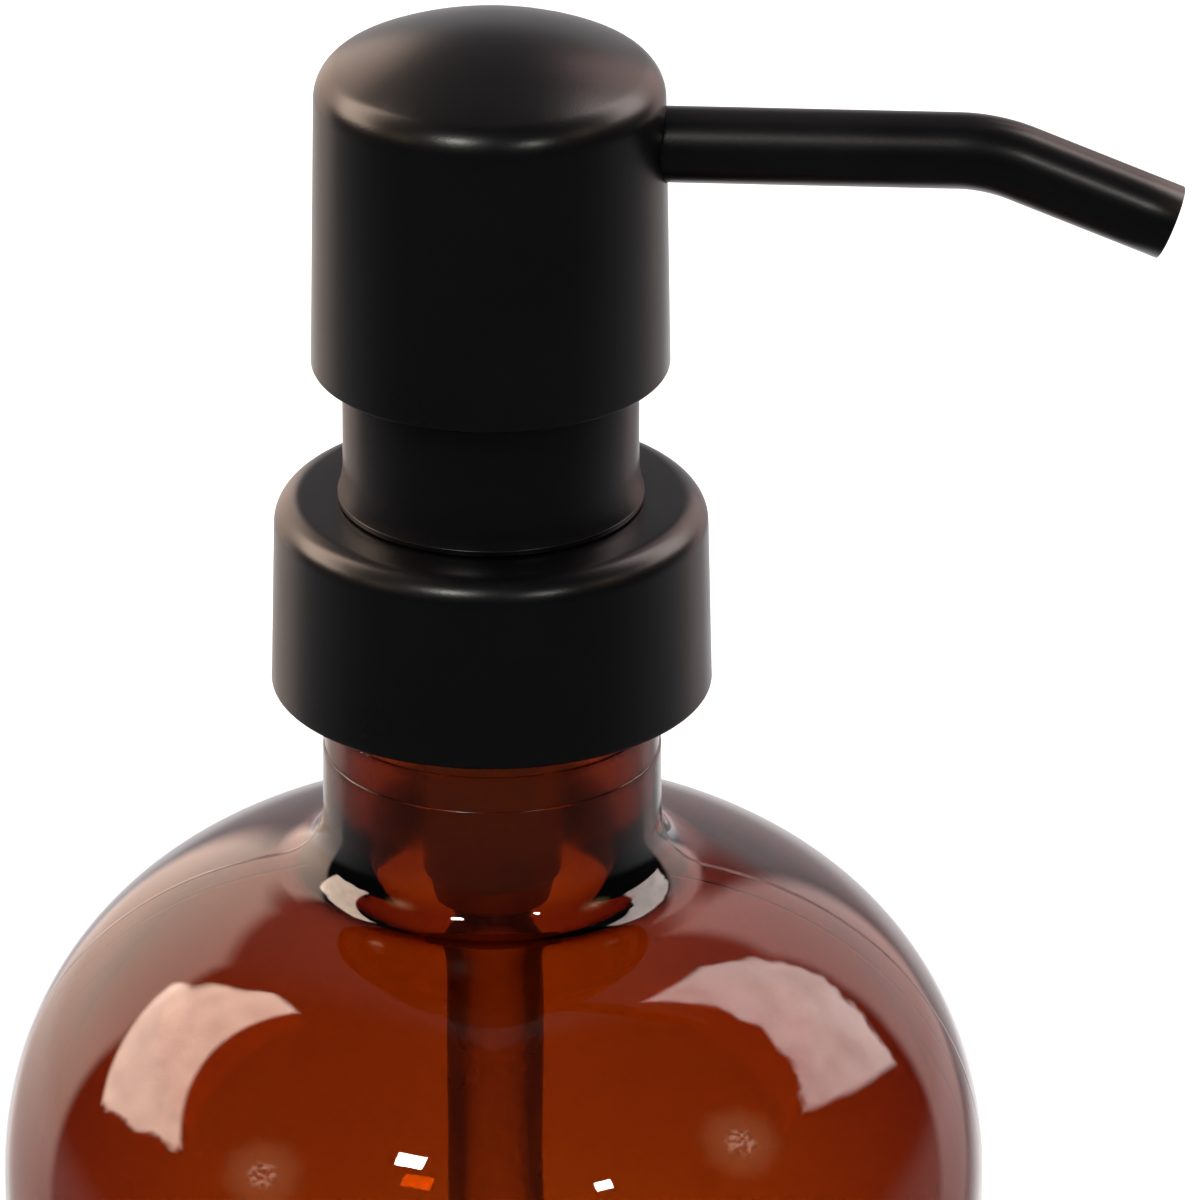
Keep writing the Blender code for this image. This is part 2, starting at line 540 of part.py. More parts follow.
def make_spring(steel, carrier):
    """Return spring round the boss, from the chimney's floor to the head's ceiling."""
    low = CHIMNEY_FLOOR_Z + GAP + WIRE_RADIUS
    high = CEILING_Z - GAP - WIRE_RADIUS
    steps_per_turn = 12
    count = round(SPRING_TURNS * steps_per_turn)
    curve = bpy.data.curves.new("spring", "CURVE")
    curve.dimensions = "3D"
    curve.bevel_depth = WIRE_RADIUS
    curve.bevel_resolution = 1
    curve.use_fill_caps = True
    spline = curve.splines.new("POLY")
    spline.points.add(count)
    for i, point in enumerate(spline.points):
        angle = math.tau * i / steps_per_turn
        height = low + (high - low) * i / count
        point.co = (SPRING_RADIUS * math.cos(angle), SPRING_RADIUS * math.sin(angle), height, 1.0)
    curve.materials.append(steel)
    spring = bpy.data.objects.new("spring", curve)
    bpy.context.scene.collection.objects.link(spring)
    spring.parent = carrier
    spring.location = -carrier.location


# ---- Moving pieces of the pump ------------------------------------------------------------------

def make_piston(soft_plastic, carrier):
    socket = STEM_RADIUS + GAP
    waist = PISTON_RADIUS - PISTON_WAIST
    hole = ROD_RADIUS + GAP
    outline = [(socket, PISTON_TOP_Z), (PISTON_RADIUS, PISTON_TOP_Z),
               (PISTON_RADIUS, PISTON_TOP_Z - PISTON_LIP), (waist, PISTON_TOP_Z - 2 * PISTON_LIP),
               (waist, PISTON_Z + 2 * PISTON_LIP), (PISTON_RADIUS, PISTON_Z + PISTON_LIP),
               (PISTON_RADIUS, PISTON_Z), (hole, PISTON_Z), (hole, PISTON_Z + PISTON_FLOOR),
               (socket, PISTON_Z + PISTON_FLOOR)]
    add_piece("piston", turned(outline, FINE_SIDES), soft_plastic, carrier)


def make_stem(plastic, carrier):
    seat_foot = OUTLET_SEAT_Z - OUTLET_SEAT_LENGTH
    outline = [(STEM_BORE, STEM_Z), (STEM_RADIUS, STEM_Z), (STEM_RADIUS, STEM_TOP_Z),
               (OUTLET_CHAMBER, STEM_TOP_Z), (OUTLET_CHAMBER, OUTLET_SEAT_Z),
               (OUTLET_SEAT_RADIUS, OUTLET_SEAT_Z), (OUTLET_SEAT_RADIUS, seat_foot),
               (STEM_BORE, seat_foot)]
    add_piece("stem", turned(outline, FINE_SIDES), plastic, carrier)


def make_piston_rod(plastic, carrier):
    flange = STEM_RADIUS + GAP
    outline = [(ROD_BORE, ROD_Z), (flange, ROD_Z), (flange, ROD_FLANGE_TOP_Z),
               (ROD_RADIUS, ROD_FLANGE_TOP_Z), (ROD_RADIUS, ROD_TOP_Z), (ROD_BORE, ROD_TOP_Z)]
    add_piece("piston_rod", turned(outline, TUBE_SIDES), plastic, carrier)


# ---- Head ---------------------------------------------------------------------------------------

def head_outline(inset, foot_z):
    """The head's outer side, inset by a distance, from the top of its dome down to foot_z."""
    dome_centre = APEX_Z - DOME_RADIUS
    fillet_r = HEAD_RADIUS - HEAD_FILLET
    rise = math.sqrt((DOME_RADIUS - HEAD_FILLET) ** 2 - fillet_r ** 2)
    fillet_centre = (fillet_r, dome_centre + rise)
    tangent = math.degrees(math.atan2(rise, fillet_r))
    draft = HEAD_DRAFT * (fillet_centre[1] - foot_z) / (fillet_centre[1] - HEAD_Z)
    points = arc((0.0, dome_centre), DOME_RADIUS - inset, 90, tangent, 5)
    points += arc(fillet_centre, HEAD_FILLET - inset, tangent, 0, 4)[1:]
    return points + [(HEAD_RADIUS + draft - inset, foot_z)]


def make_head_shell(metal, carrier):
    edge = HEAD_WALL / 2
    outside = head_outline(0.0, HEAD_Z + edge)
    outside += [(HEAD_RADIUS + HEAD_DRAFT - edge, HEAD_Z)]
    inside = head_outline(HEAD_WALL, HEAD_Z)
    outline = outside + list(reversed(inside))
    shell = add_piece("head_shell", turned(outline, SIDES, closed=False), metal, carrier)
    hole = bar((0.0, 0.0, SPOUT_Z), (2 * HEAD_RADIUS, 0.0, SPOUT_Z), SPOUT_SOCKET, FINE_SIDES)
    combine(shell, hole, "head_shell_hole", "DIFFERENCE")


def make_head_core(plastic, carrier):
    """The head's body: a solid dome with a skirt round the sleeve and a boss for the stem."""
    foot = HEAD_Z + CORE_RECESS
    skirt = SLEEVE_RADIUS + CORE_CLEARANCE
    outline = head_outline(HEAD_WALL + GAP, foot)
    outline += [(skirt, foot), (skirt, CEILING_Z), (BOSS_RADIUS, CEILING_Z), (BOSS_RADIUS, BOSS_Z),
                (STEM_SOCKET, BOSS_Z), (STEM_SOCKET, STEM_SOCKET_TOP_Z),
                (LINER_BORE, STEM_SOCKET_TOP_Z), (LINER_BORE, SPOUT_Z), (0.0, SPOUT_Z)]
    core = add_piece("head_core", turned(outline, FINE_SIDES, closed=False), plastic, carrier)
    socket = bar((SPOUT_SOCKET_START, 0.0, SPOUT_Z), (2 * HEAD_RADIUS, 0.0, SPOUT_Z),
                 SPOUT_SOCKET, FINE_SIDES)
    combine(core, socket, "spout_socket", "DIFFERENCE")
    channel = bar((0.2 * LINER_BORE, 0.0, SPOUT_Z), (SPOUT_SOCKET_START + GAP, 0.0, SPOUT_Z),
                  LINER_BORE * 0.96, TUBE_SIDES)
    combine(core, channel, "spout_channel", "DIFFERENCE")


def spout_stations(trim):
    """Places along the spout's middle line, as (point, downward angle), less trim at the tip."""
    bend_steps = 5
    stations = [(Vector((SPOUT_START, 0.0, SPOUT_Z)), 0.0)]
    centre = Vector((SPOUT_STRAIGHT, 0.0, SPOUT_Z - SPOUT_BEND_RADIUS))
    for i in range(bend_steps + 1):
        angle = SPOUT_BEND * i / bend_steps
        out = Vector((math.sin(angle), 0.0, math.cos(angle)))
        stations.append((centre + out * SPOUT_BEND_RADIUS, angle))
    along = Vector((math.cos(SPOUT_BEND), 0.0, -math.sin(SPOUT_BEND)))
    stations.append((stations[-1][0] + along * (SPOUT_TIP - trim), SPOUT_BEND))
    return stations


def bent_tube(outer, inner, trim):
    """A hollow tube along the spout's middle line, with flat ends square to it."""
    turns = [math.tau * i / TUBE_SIDES for i in range(TUBE_SIDES)]

    def ring(station, radius):
        point, angle = station
        up = Vector((math.sin(angle), 0.0, math.cos(angle)))
        side = Vector((0.0, 1.0, 0.0))
        return [point + (side * math.cos(t) + up * math.sin(t)) * radius for t in turns]

    stations = spout_stations(trim)
    outside = [ring(station, outer) for station in stations]
    inside = [ring(station, inner) for station in reversed(stations)]
    bm = bmesh.new()
    skin(bm, outside + inside + outside[:1])
    bmesh.ops.remove_doubles(bm, verts=bm.verts, dist=0.001 * MM)
    return bm


def make_spout(metal, carrier):
    tube = bent_tube(SPOUT_RADIUS, SPOUT_RADIUS - SPOUT_WALL, 0.0)
    add_piece("spout", tube, metal, carrier)


def make_spout_liner(plastic, carrier):
    tube = bent_tube(LINER_RADIUS, LINER_BORE, LINER_RECESS)
    add_piece("spout_liner", tube, plastic, carrier)


# ---- Assembly -----------------------------------------------------------------------------------

def main():
    for old in list(bpy.data.objects):
        bpy.data.objects.remove(old, do_unlink=True)

    glass = material("amber_glass", (0.42, 0.13, 0.02), 0.03, transmission=1.0)
    black_metal = material("satin_black_metal", (0.012, 0.012, 0.013), 0.38, metallic=0.4)
    black_plastic = material("black_plastic", (0.02, 0.02, 0.021), 0.5)
    pump_plastic = material("pump_plastic", (0.72, 0.71, 0.66), 0.4)
    soft_plastic = material("soft_plastic", (0.75, 0.76, 0.74), 0.5)
    rubber = material("seal_rubber", (0.6, 0.6, 0.58), 0.7)
    steel = material("bright_steel", (0.62, 0.62, 0.63), 0.22, metallic=1.0)

    pump_unit = add_carrier("pump_unit_carrier", RIM_Z)
    closure = add_carrier("closure_carrier", COLLAR_TOP_Z)
    plunger = add_carrier("plunger_carrier", PISTON_TOP_Z)
    head = add_carrier("head_carrier", HEAD_Z)
    inlet = add_carrier("inlet_carrier", INLET_BALL_Z)
    outlet = add_carrier("outlet_carrier", OUTLET_BALL_Z)

    make_bottle(glass)

    make_gasket(rubber, pump_unit)
    make_pump_housing(pump_plastic, pump_unit)
    make_chaplet(pump_plastic, pump_unit)
    make_stem_seal(rubber, pump_unit)
    make_sleeve_shell(black_metal, pump_unit)
    make_dip_tube(pump_plastic, pump_unit)
    make_ball_cage(pump_plastic, pump_unit)
    make_spring(steel, pump_unit)

    make_collar_shell(black_metal, closure)
    make_threaded_cap(black_plastic, closure)

    make_piston(soft_plastic, plunger)
    make_stem(pump_plastic, head)
    make_piston_rod(pump_plastic, head)
    make_head_shell(black_metal, head)
    make_head_core(black_plastic, head)
    make_spout(black_metal, head)
    make_spout_liner(black_plastic, head)

    add_piece("inlet_ball", ball(INLET_BALL_RADIUS, INLET_BALL_Z), steel, inlet)
    add_piece("outlet_ball", ball(OUTLET_BALL_RADIUS, OUTLET_BALL_Z), steel, outlet)


main()
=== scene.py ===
# %% [markdown]
# # A soap pump dispenser: amber glass bottle, satin black pump
#
# The engineering model already holds every size, joint and clearance. This lesson dresses it: it
# loads that model as a fixed frame, replaces its faceted pieces with smooth ones of the same size,
# gives each piece a finish, and lights it on a pale studio sweep. Each new piece hides the piece
# of the frame that it stands for and rides on the body that it moves with.

# %% Load the frame
import math

import bpy
from mathutils import Matrix, Vector


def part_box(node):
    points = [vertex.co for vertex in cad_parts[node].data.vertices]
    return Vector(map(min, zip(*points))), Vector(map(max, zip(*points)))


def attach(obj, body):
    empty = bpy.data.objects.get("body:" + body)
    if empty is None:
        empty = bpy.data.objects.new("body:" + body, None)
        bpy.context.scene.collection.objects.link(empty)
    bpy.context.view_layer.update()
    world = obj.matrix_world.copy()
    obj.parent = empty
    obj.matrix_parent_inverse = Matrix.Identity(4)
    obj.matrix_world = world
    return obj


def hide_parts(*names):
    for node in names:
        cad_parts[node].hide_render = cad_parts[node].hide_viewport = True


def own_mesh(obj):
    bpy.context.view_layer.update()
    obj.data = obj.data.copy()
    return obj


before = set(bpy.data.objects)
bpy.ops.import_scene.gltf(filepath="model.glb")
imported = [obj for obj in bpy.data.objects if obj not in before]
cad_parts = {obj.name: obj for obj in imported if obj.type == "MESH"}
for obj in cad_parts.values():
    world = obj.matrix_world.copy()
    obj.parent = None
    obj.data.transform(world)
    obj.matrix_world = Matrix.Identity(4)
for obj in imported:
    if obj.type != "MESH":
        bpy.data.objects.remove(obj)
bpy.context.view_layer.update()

MM = 0.001

# %% [markdown]
# ## Turned pieces
#
# Nearly everything here was turned, drawn or blown round one upright axis. So one helper does
# the work of a lathe. It merges a small plane to one point, extrudes that point along an outline,
# and spins the outline once round. An outline that starts and ends on the axis makes a solid, and
# one that closes on itself makes a ring. A Screw modifier or a stack of cylinders would give less
# control over the seam, or no rounded edges.

# %% A lathe made of edit-mode operators
SMOOTH_TURN = 128                    # facets in one turn of a piece that shows
CAP_TURN = 96
INNER_TURN = 64
WELD = 0.002 * MM                    # points closer than this become one
START_SIZE = 2 * MM                  # the plane that an outline or a section starts from
SHARP = 35.0                         # degrees; an edge sharper than this stays crisp


def deselect():
    bpy.ops.object.select_all(action="DESELECT")


def edit_all():
    bpy.ops.object.mode_set(mode="EDIT")
    bpy.ops.mesh.select_all(action="SELECT")


def extrude(step):
    bpy.ops.mesh.extrude_region_move(TRANSFORM_OT_translate={"value": step})


def close_up(weld=True):
    """Weld the seams, turn every face outwards and leave edit mode."""
    bpy.ops.mesh.select_all(action="SELECT")
    if weld:
        bpy.ops.mesh.remove_doubles(threshold=WELD)
    bpy.ops.mesh.normals_make_consistent(inside=False)
    bpy.ops.object.mode_set(mode="OBJECT")


def apply_modifier(piece, kind, **settings):
    """Add a modifier with its settings and apply it."""
    bpy.context.view_layer.objects.active = piece
    modifier = piece.modifiers.new(kind.lower(), kind)
    for name, value in settings.items():
        setattr(modifier, name, value)
    bpy.ops.object.modifier_apply(modifier=modifier.name)


def active_piece(name):
    """Name the object that an operator has just added."""
    piece = bpy.context.object
    piece.name = name
    piece.data.name = name
    return piece


def arc(centre, radius, start, end, steps):
    """Points (r, z) on a round stretch of an outline, from start to end in degrees."""
    angles = [math.radians(start + (end - start) * i / steps) for i in range(steps + 1)]
    return [(centre[0] + radius * math.cos(a), centre[1] + radius * math.sin(a)) for a in angles]


def bezier(start, corner, end, t):
    return tuple(start * (1 - t) ** 2 + corner * 2 * t * (1 - t) + end * t ** 2)


def round_corners(points, radius, steps=4):
    """A closed outline with every corner rounded, or only as far as its short sides allow."""
    rounded = []
    count = len(points)
    for i in range(count):
        before, here, after = (Vector(points[(i + k) % count]) for k in (-1, 0, 1))
        back, ahead = before - here, after - here
        cut = min(radius, back.length * 0.45, ahead.length * 0.45)
        start, end = here + back.normalized() * cut, here + ahead.normalized() * cut
        rounded += [bezier(start, here, end, step / steps) for step in range(steps + 1)]
    return rounded


def turn_outline(name, outline, steps=SMOOTH_TURN, solid=False):
    """Spin an outline of (r, z) points round the Z axis into a closed, smooth-shaded piece."""
    deselect()
    bpy.ops.mesh.primitive_plane_add(size=START_SIZE, location=(0, 0, 0))
    piece = active_piece(name)
    edit_all()
    bpy.ops.mesh.merge(type="CENTER")
    bpy.ops.transform.translate(value=(outline[0][0], 0, outline[0][1]))
    route = list(outline) if solid else [*outline, outline[0]]
    for here, after in zip(route, route[1:]):
        extrude((after[0] - here[0], 0, after[1] - here[1]))
    bpy.ops.mesh.select_all(action="SELECT")
    bpy.ops.mesh.spin(steps=steps, angle=math.tau, center=(0, 0, 0), axis=(0, 0, 1))
    close_up()
    bpy.ops.object.shade_smooth_by_angle(angle=math.radians(SHARP))
    return piece


def unite_or_cut(piece, tool, operation):
    """Apply a Boolean with a helper piece, throw the helper away and shade the result."""
    deselect()
    apply_modifier(piece, "BOOLEAN", operation=operation, object=tool)
    bpy.data.objects.remove(tool, do_unlink=True)
    piece.select_set(True)
    bpy.ops.object.shade_smooth_by_angle(angle=math.radians(SHARP))


def settle(piece, body, slot, finish, *nodes):
    """Give a finished piece its finish and its body, and hide the frame's pieces that it stands
    for.
    """
    piece.data.materials.clear()
    piece.data.materials.append(finish)
    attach(piece, body)
    if nodes:
        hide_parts(*nodes)
    print(f"{piece.name}: {len(piece.data.polygons)} faces, rides on {body}")


# %% [markdown]
# ## Finishes
#
# Every finish is a Principled shader with its detail on Object coordinates, so it stays on the
# piece when the piece moves. A number that is the same all over is set on the shader itself. The
# grain of a coating or a moulding is a fine noise that goes to a Bump node, and a broader noise
# moves the roughness a little, as handling and moulding do.

# %% Building blocks for the finishes
def new_finish(name, colour, roughness, metallic=0.0):
    """A Principled finish. Returns the material, its node tree and its shader."""
    made = bpy.data.materials.new(name)
    made.use_nodes = True
    tree = made.node_tree
    shader = tree.nodes["Principled BSDF"]
    shader.inputs["Base Color"].default_value = (*colour, 1)
    shader.inputs["Roughness"].default_value = roughness
    shader.inputs["Metallic"].default_value = metallic
    return made, tree, shader


def noise(tree, scale, detail=3.0, stretch=(1, 1, 1), space="Object"):
    """A noise pattern on the piece's own coordinates, in features per metre."""
    place = tree.nodes.new("ShaderNodeTexCoord")
    mapping = tree.nodes.new("ShaderNodeMapping")
    mapping.inputs["Scale"].default_value = stretch
    pattern = tree.nodes.new("ShaderNodeTexNoise")
    pattern.inputs["Scale"].default_value = scale
    pattern.inputs["Detail"].default_value = detail
    tree.links.new(place.outputs[space], mapping.inputs["Vector"])
    tree.links.new(mapping.outputs["Vector"], pattern.inputs["Vector"])
    return pattern.outputs["Fac"]


def math_node(tree, operation, *values):
    """A Math node. Each value is a number or another node's output."""
    node = tree.nodes.new("ShaderNodeMath")
    node.operation = operation
    for socket, value in zip(node.inputs, values):
        if isinstance(value, (int, float)):
            socket.default_value = value
        else:
            tree.links.new(value, socket)
    return node.outputs[0]


def spread(tree, source, low, high, from_low=0.3, from_high=0.7, curve="LINEAR"):
    """Map a pattern onto a range of values."""
    node = tree.nodes.new("ShaderNodeMapRange")
    node.interpolation_type = curve
    for name, number in (("From Min", from_low), ("From Max", from_high), ("To Min", low),
                         ("To Max", high)):
        node.inputs[name].default_value = number
    tree.links.new(source, node.inputs["Value"])
    return node.outputs["Result"]


def bump(tree, source, height, strength=1.0, under=None):
    """A Bump node of a real height in metres, laid over another one when there is one."""
    node = tree.nodes.new("ShaderNodeBump")
    node.inputs["Strength"].default_value = strength
    node.inputs["Distance"].default_value = height
    tree.links.new(source, node.inputs["Height"])
    if under is not None:
        tree.links.new(under, node.inputs["Normal"])
    return node.outputs["Normal"]


def two_tone(tree, source, first, second):
    """Blend two colours by a pattern."""
    node = tree.nodes.new("ShaderNodeMix")
    node.data_type = "RGBA"
    node.inputs["A"].default_value = (*first, 1)
    node.inputs["B"].default_value = (*second, 1)
    tree.links.new(source, node.inputs["Factor"])
    return node.outputs["Result"]


# %% [markdown]
# ### Amber glass
#
# Amber glass takes its colour from its depth: a thin wall is orange, a thick foot is nearly
# black. So the surface itself is clear and the colour is a Volume Absorption inside it, which
# only works because the bottle is one closed wall with a real thickness. Blown glass is never
# quite true, so a slow ripple and a hair-thin mould seam go into the bump.

# %% Amber glass
GLASS_TAKES = (292.0, 598.0, 1400.0)     # share of red, green and blue lost in each metre
GLASS_IOR = 1.5
NECK_DULLNESS = 0.2                      # the pressed finish is less glossy than the body
NECK_DULL_RANGE = (148.5 * MM, 151.5 * MM)
RIPPLE = 0.12 * MM
SEAM_WIDTH = 0.25 * MM                   # the line that the two halves of the mould leave
SEAM_HEIGHT = 0.04 * MM


def amber_glass():
    made, tree, shader = new_finish("amber_glass", (1, 1, 1), 0.0)
    shader.inputs["Transmission Weight"].default_value = 1.0
    shader.inputs["IOR"].default_value = GLASS_IOR
    density = max(GLASS_TAKES)
    volume = tree.nodes.new("ShaderNodeVolumeAbsorption")
    volume.inputs["Density"].default_value = density
    volume.inputs["Color"].default_value = (*[1 - take / density for take in GLASS_TAKES], 1)
    output = tree.nodes["Material Output"]
    tree.links.new(volume.outputs["Volume"], output.inputs["Volume"])

    ripple = bump(tree, noise(tree, 55, 1.5, (1, 1, 0.5)), RIPPLE, 0.35)
    place = tree.nodes.new("ShaderNodeTexCoord")
    axes = tree.nodes.new("ShaderNodeSeparateXYZ")
    tree.links.new(place.outputs["Object"], axes.inputs["Vector"])
    dull = spread(tree, axes.outputs["Z"], 0.0, NECK_DULLNESS, *NECK_DULL_RANGE)
    tree.links.new(dull, shader.inputs["Roughness"])
    beside = math_node(tree, "ABSOLUTE", axes.outputs["Y"])
    seam = spread(tree, beside, 1.0, 0.0, 0.0, SEAM_WIDTH)
    tree.links.new(bump(tree, seam, SEAM_HEIGHT, 0.5, ripple), shader.inputs["Normal"])
    return made


# %% [markdown]
# ### Satin black metal
#
# The collar, sleeve, head and spout are thin metal with a baked satin black coat. The coat hides
# the metal, so it is shaded as a coating: nearly black, with a soft wide highlight. A fine grain
# breaks the highlight up, and slow changes in roughness stand for handling.

# %% Satin black metal
COAT_BLACK = (0.0007, 0.0007, 0.0011)
COAT_WORN = (0.0014, 0.0014, 0.002)
COAT_ROUGHNESS = (0.27, 0.33)
COAT_IOR = 1.45
GRAIN_HEIGHT = 0.012 * MM


def satin_black():
    made, tree, shader = new_finish("satin_black_metal", COAT_BLACK, COAT_ROUGHNESS[0])
    shader.inputs["IOR"].default_value = COAT_IOR
    cloud = noise(tree, 90, 3)
    tree.links.new(two_tone(tree, cloud, COAT_BLACK, COAT_WORN), shader.inputs["Base Color"])
    tree.links.new(spread(tree, cloud, *COAT_ROUGHNESS), shader.inputs["Roughness"])
    grain = bump(tree, noise(tree, 5200, 2), GRAIN_HEIGHT, 0.5)
    tree.links.new(bump(tree, noise(tree, 1400, 2), 0.01 * MM, 0.25, grain),
                   shader.inputs["Normal"])
    return made


# %% [markdown]
# ### Plastics, rubber and steel
#
# The hidden pieces are moulded or drawn, and each shows its making close up. Moulded plastic has
# a fine orange peel. The pump's own plastic is natural and milky, so light passes through it. The
# drawn tube is smoother and clearer, and the soft plastic is waxy. Rubber is dull, and the spring
# wire and the balls are bright steel with drawing lines.

# %% Plastics, rubber and steel
ORANGE_PEEL = 0.012 * MM
SKIN_DEPTH = (1.2 * MM, 0.9 * MM, 0.7 * MM)  # how far light wanders under waxy plastic


def moulded_plastic(name, colour, roughness, peel=ORANGE_PEEL, waxy=0.0, clear=0.0):
    made, tree, shader = new_finish(name, colour, roughness)
    lighter = tuple(min(1.0, c * 1.25 + 0.002) for c in colour)
    cloud = noise(tree, 140, 3)
    tree.links.new(two_tone(tree, cloud, colour, lighter), shader.inputs["Base Color"])
    tree.links.new(spread(tree, cloud, roughness - 0.05, roughness + 0.06),
                   shader.inputs["Roughness"])
    tree.links.new(bump(tree, noise(tree, 1500, 2), peel, 0.4), shader.inputs["Normal"])
    shader.inputs["Transmission Weight"].default_value = clear
    if waxy:
        shader.inputs["Subsurface Weight"].default_value = waxy
        shader.inputs["Subsurface Radius"].default_value = SKIN_DEPTH
        shader.inputs["Subsurface Scale"].default_value = 1.0
    return made


def bright_steel():
    made, tree, shader = new_finish("bright_steel", (0.6, 0.6, 0.61), 0.2, metallic=1.0)
    lines = noise(tree, 900, 2, (1, 1, 6))
    tree.links.new(spread(tree, lines, 0.14, 0.3), shader.inputs["Roughness"])
    tree.links.new(bump(tree, lines, 0.004 * MM, 0.5), shader.inputs["Normal"])
    return made


GLASS = amber_glass()
SATIN = satin_black()
BLACK_PLASTIC = moulded_plastic("black_plastic", (0.012, 0.012, 0.013), 0.48)
PUMP_PLASTIC = moulded_plastic("pump_plastic", (0.92, 0.91, 0.86), 0.4, clear=0.7)
TUBE_PLASTIC = moulded_plastic("tube_plastic", (0.98, 0.98, 0.93), 0.24, 0.004 * MM, clear=0.97)
SOFT_PLASTIC = moulded_plastic("soft_plastic", (0.74, 0.75, 0.72), 0.5, waxy=0.3)
RUBBER = moulded_plastic("seal_rubber", (0.58, 0.58, 0.56), 0.72, peel=0.03 * MM)
STEEL = bright_steel()

# %% [markdown]
# ## The bottle
#
# A round-shouldered bottle is blown in a mould: a straight side, a shoulder a little squarer than
# an ellipse, a hollow fillet into the neck, and a pressed finish with its screw thread. The frame
# gives its height and width. The shoulder is one formula, so outside and inside share it, and the
# wall between them has the glass's real thickness. The bottle stands on a ring under its foot,
# round a shallow hollow.

# %% The bottle's sizes
bottle_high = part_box("bottle")[1]
BODY_RADIUS = bottle_high.x
RIM_Z = bottle_high.z
SIDE_HEIGHT = 118.5 * MM
SHOULDER_RISE = 26.9 * MM
SHOULDER_INNER_RADIUS = 9.48 * MM
SHOULDER_POWER = 2.1
NECK_RADIUS = 12.5 * MM
NECK_FLARE = 0.05 * MM
NECK_FILLET = 3.75 * MM
NECK_WALL = 3.0 * MM
SIDE_WALL = 3.2 * MM
SHOULDER_WALL = 3.0 * MM
BASE_WALL = 3.5 * MM
BASE_CROWN = 1.0 * MM
HEEL_RADIUS = 4.5 * MM
BASE_HOLLOW = 1.3 * MM               # how far the middle of the base is off the table
FOOT_RADIUS = 30.5 * MM              # outer edge of the ring that it stands on
FOOT_WIDTH = 1.2 * MM
INNER_HEEL = 2.0 * MM
RIM_ROUND = 0.8 * MM
FINISH_DEPTH = 11.2 * MM             # rim to the ledge under the screw finish
PART_LINE_DEPTH = 14.0 * MM          # rim to the line between the two moulds
LEDGE = 0.14 * MM                    # how far the neck steps out at each of them
LEDGE_CLEAR = 0.6 * MM               # straight neck above and below each ledge
print(f"bottle {2 * BODY_RADIUS / MM:.1f} mm across, {RIM_Z / MM:.1f} mm to its rim")

# %% [markdown]
# The shoulder's curve is worked out for any wall, once for the outside and once for the inside,
# and a short Bezier hollow joins it to the neck.

# %% The shoulder's curve
SLOPE_STEP = 0.05 * MM


def shoulder_point(share, inner, outer, rise):
    """A point of the shoulder, from share 0 at the side to share 1 at the top."""
    angle = share * math.pi / 2
    across = max(math.cos(angle), 0.0) ** (2 / SHOULDER_POWER)
    up = max(math.sin(angle), 0.0) ** (2 / SHOULDER_POWER)
    return inner + (outer - inner) * across, SIDE_HEIGHT + rise * up


def shoulder_height(radius, inner, outer, rise):
    across = (radius - inner) / (outer - inner)
    return SIDE_HEIGHT + rise * (1 - across ** SHOULDER_POWER) ** (1 / SHOULDER_POWER)


def shoulder_and_fillet(neck, inner, outer, rise, fillet, steps=40, fillet_steps=14):
    """Points from the neck, round the hollow fillet, down the shoulder to the side."""
    foot = neck + fillet
    height = shoulder_height(foot, inner, outer, rise)
    nearby = SLOPE_STEP
    slope = (shoulder_height(foot - nearby, inner, outer, rise) - height) / nearby
    start = Vector((neck, height + slope * fillet + fillet))
    corner = Vector((neck, height + slope * fillet))
    end = Vector((foot, height))
    points = [bezier(start, corner, end, i / fillet_steps) for i in range(fillet_steps + 1)]
    last = math.acos(((foot - inner) / (outer - inner)) ** (SHOULDER_POWER / 2)) / (math.pi / 2)
    for i in range(1, steps + 1):
        points.append(shoulder_point(last * (1 - i / steps), inner, outer, rise))
    return points


# %% [markdown]
# The outline runs from the middle of the inner floor, up the inside, over the rim, down the
# outside and back under the foot. The neck steps out by a hair at two ledges, under the screw
# finish and at the line between the moulds, and these catch the light.

# %% The bottle's outline
FLOOR_STEPS = 12
HEEL_STEPS = 10
SIDE_ROWS = 16


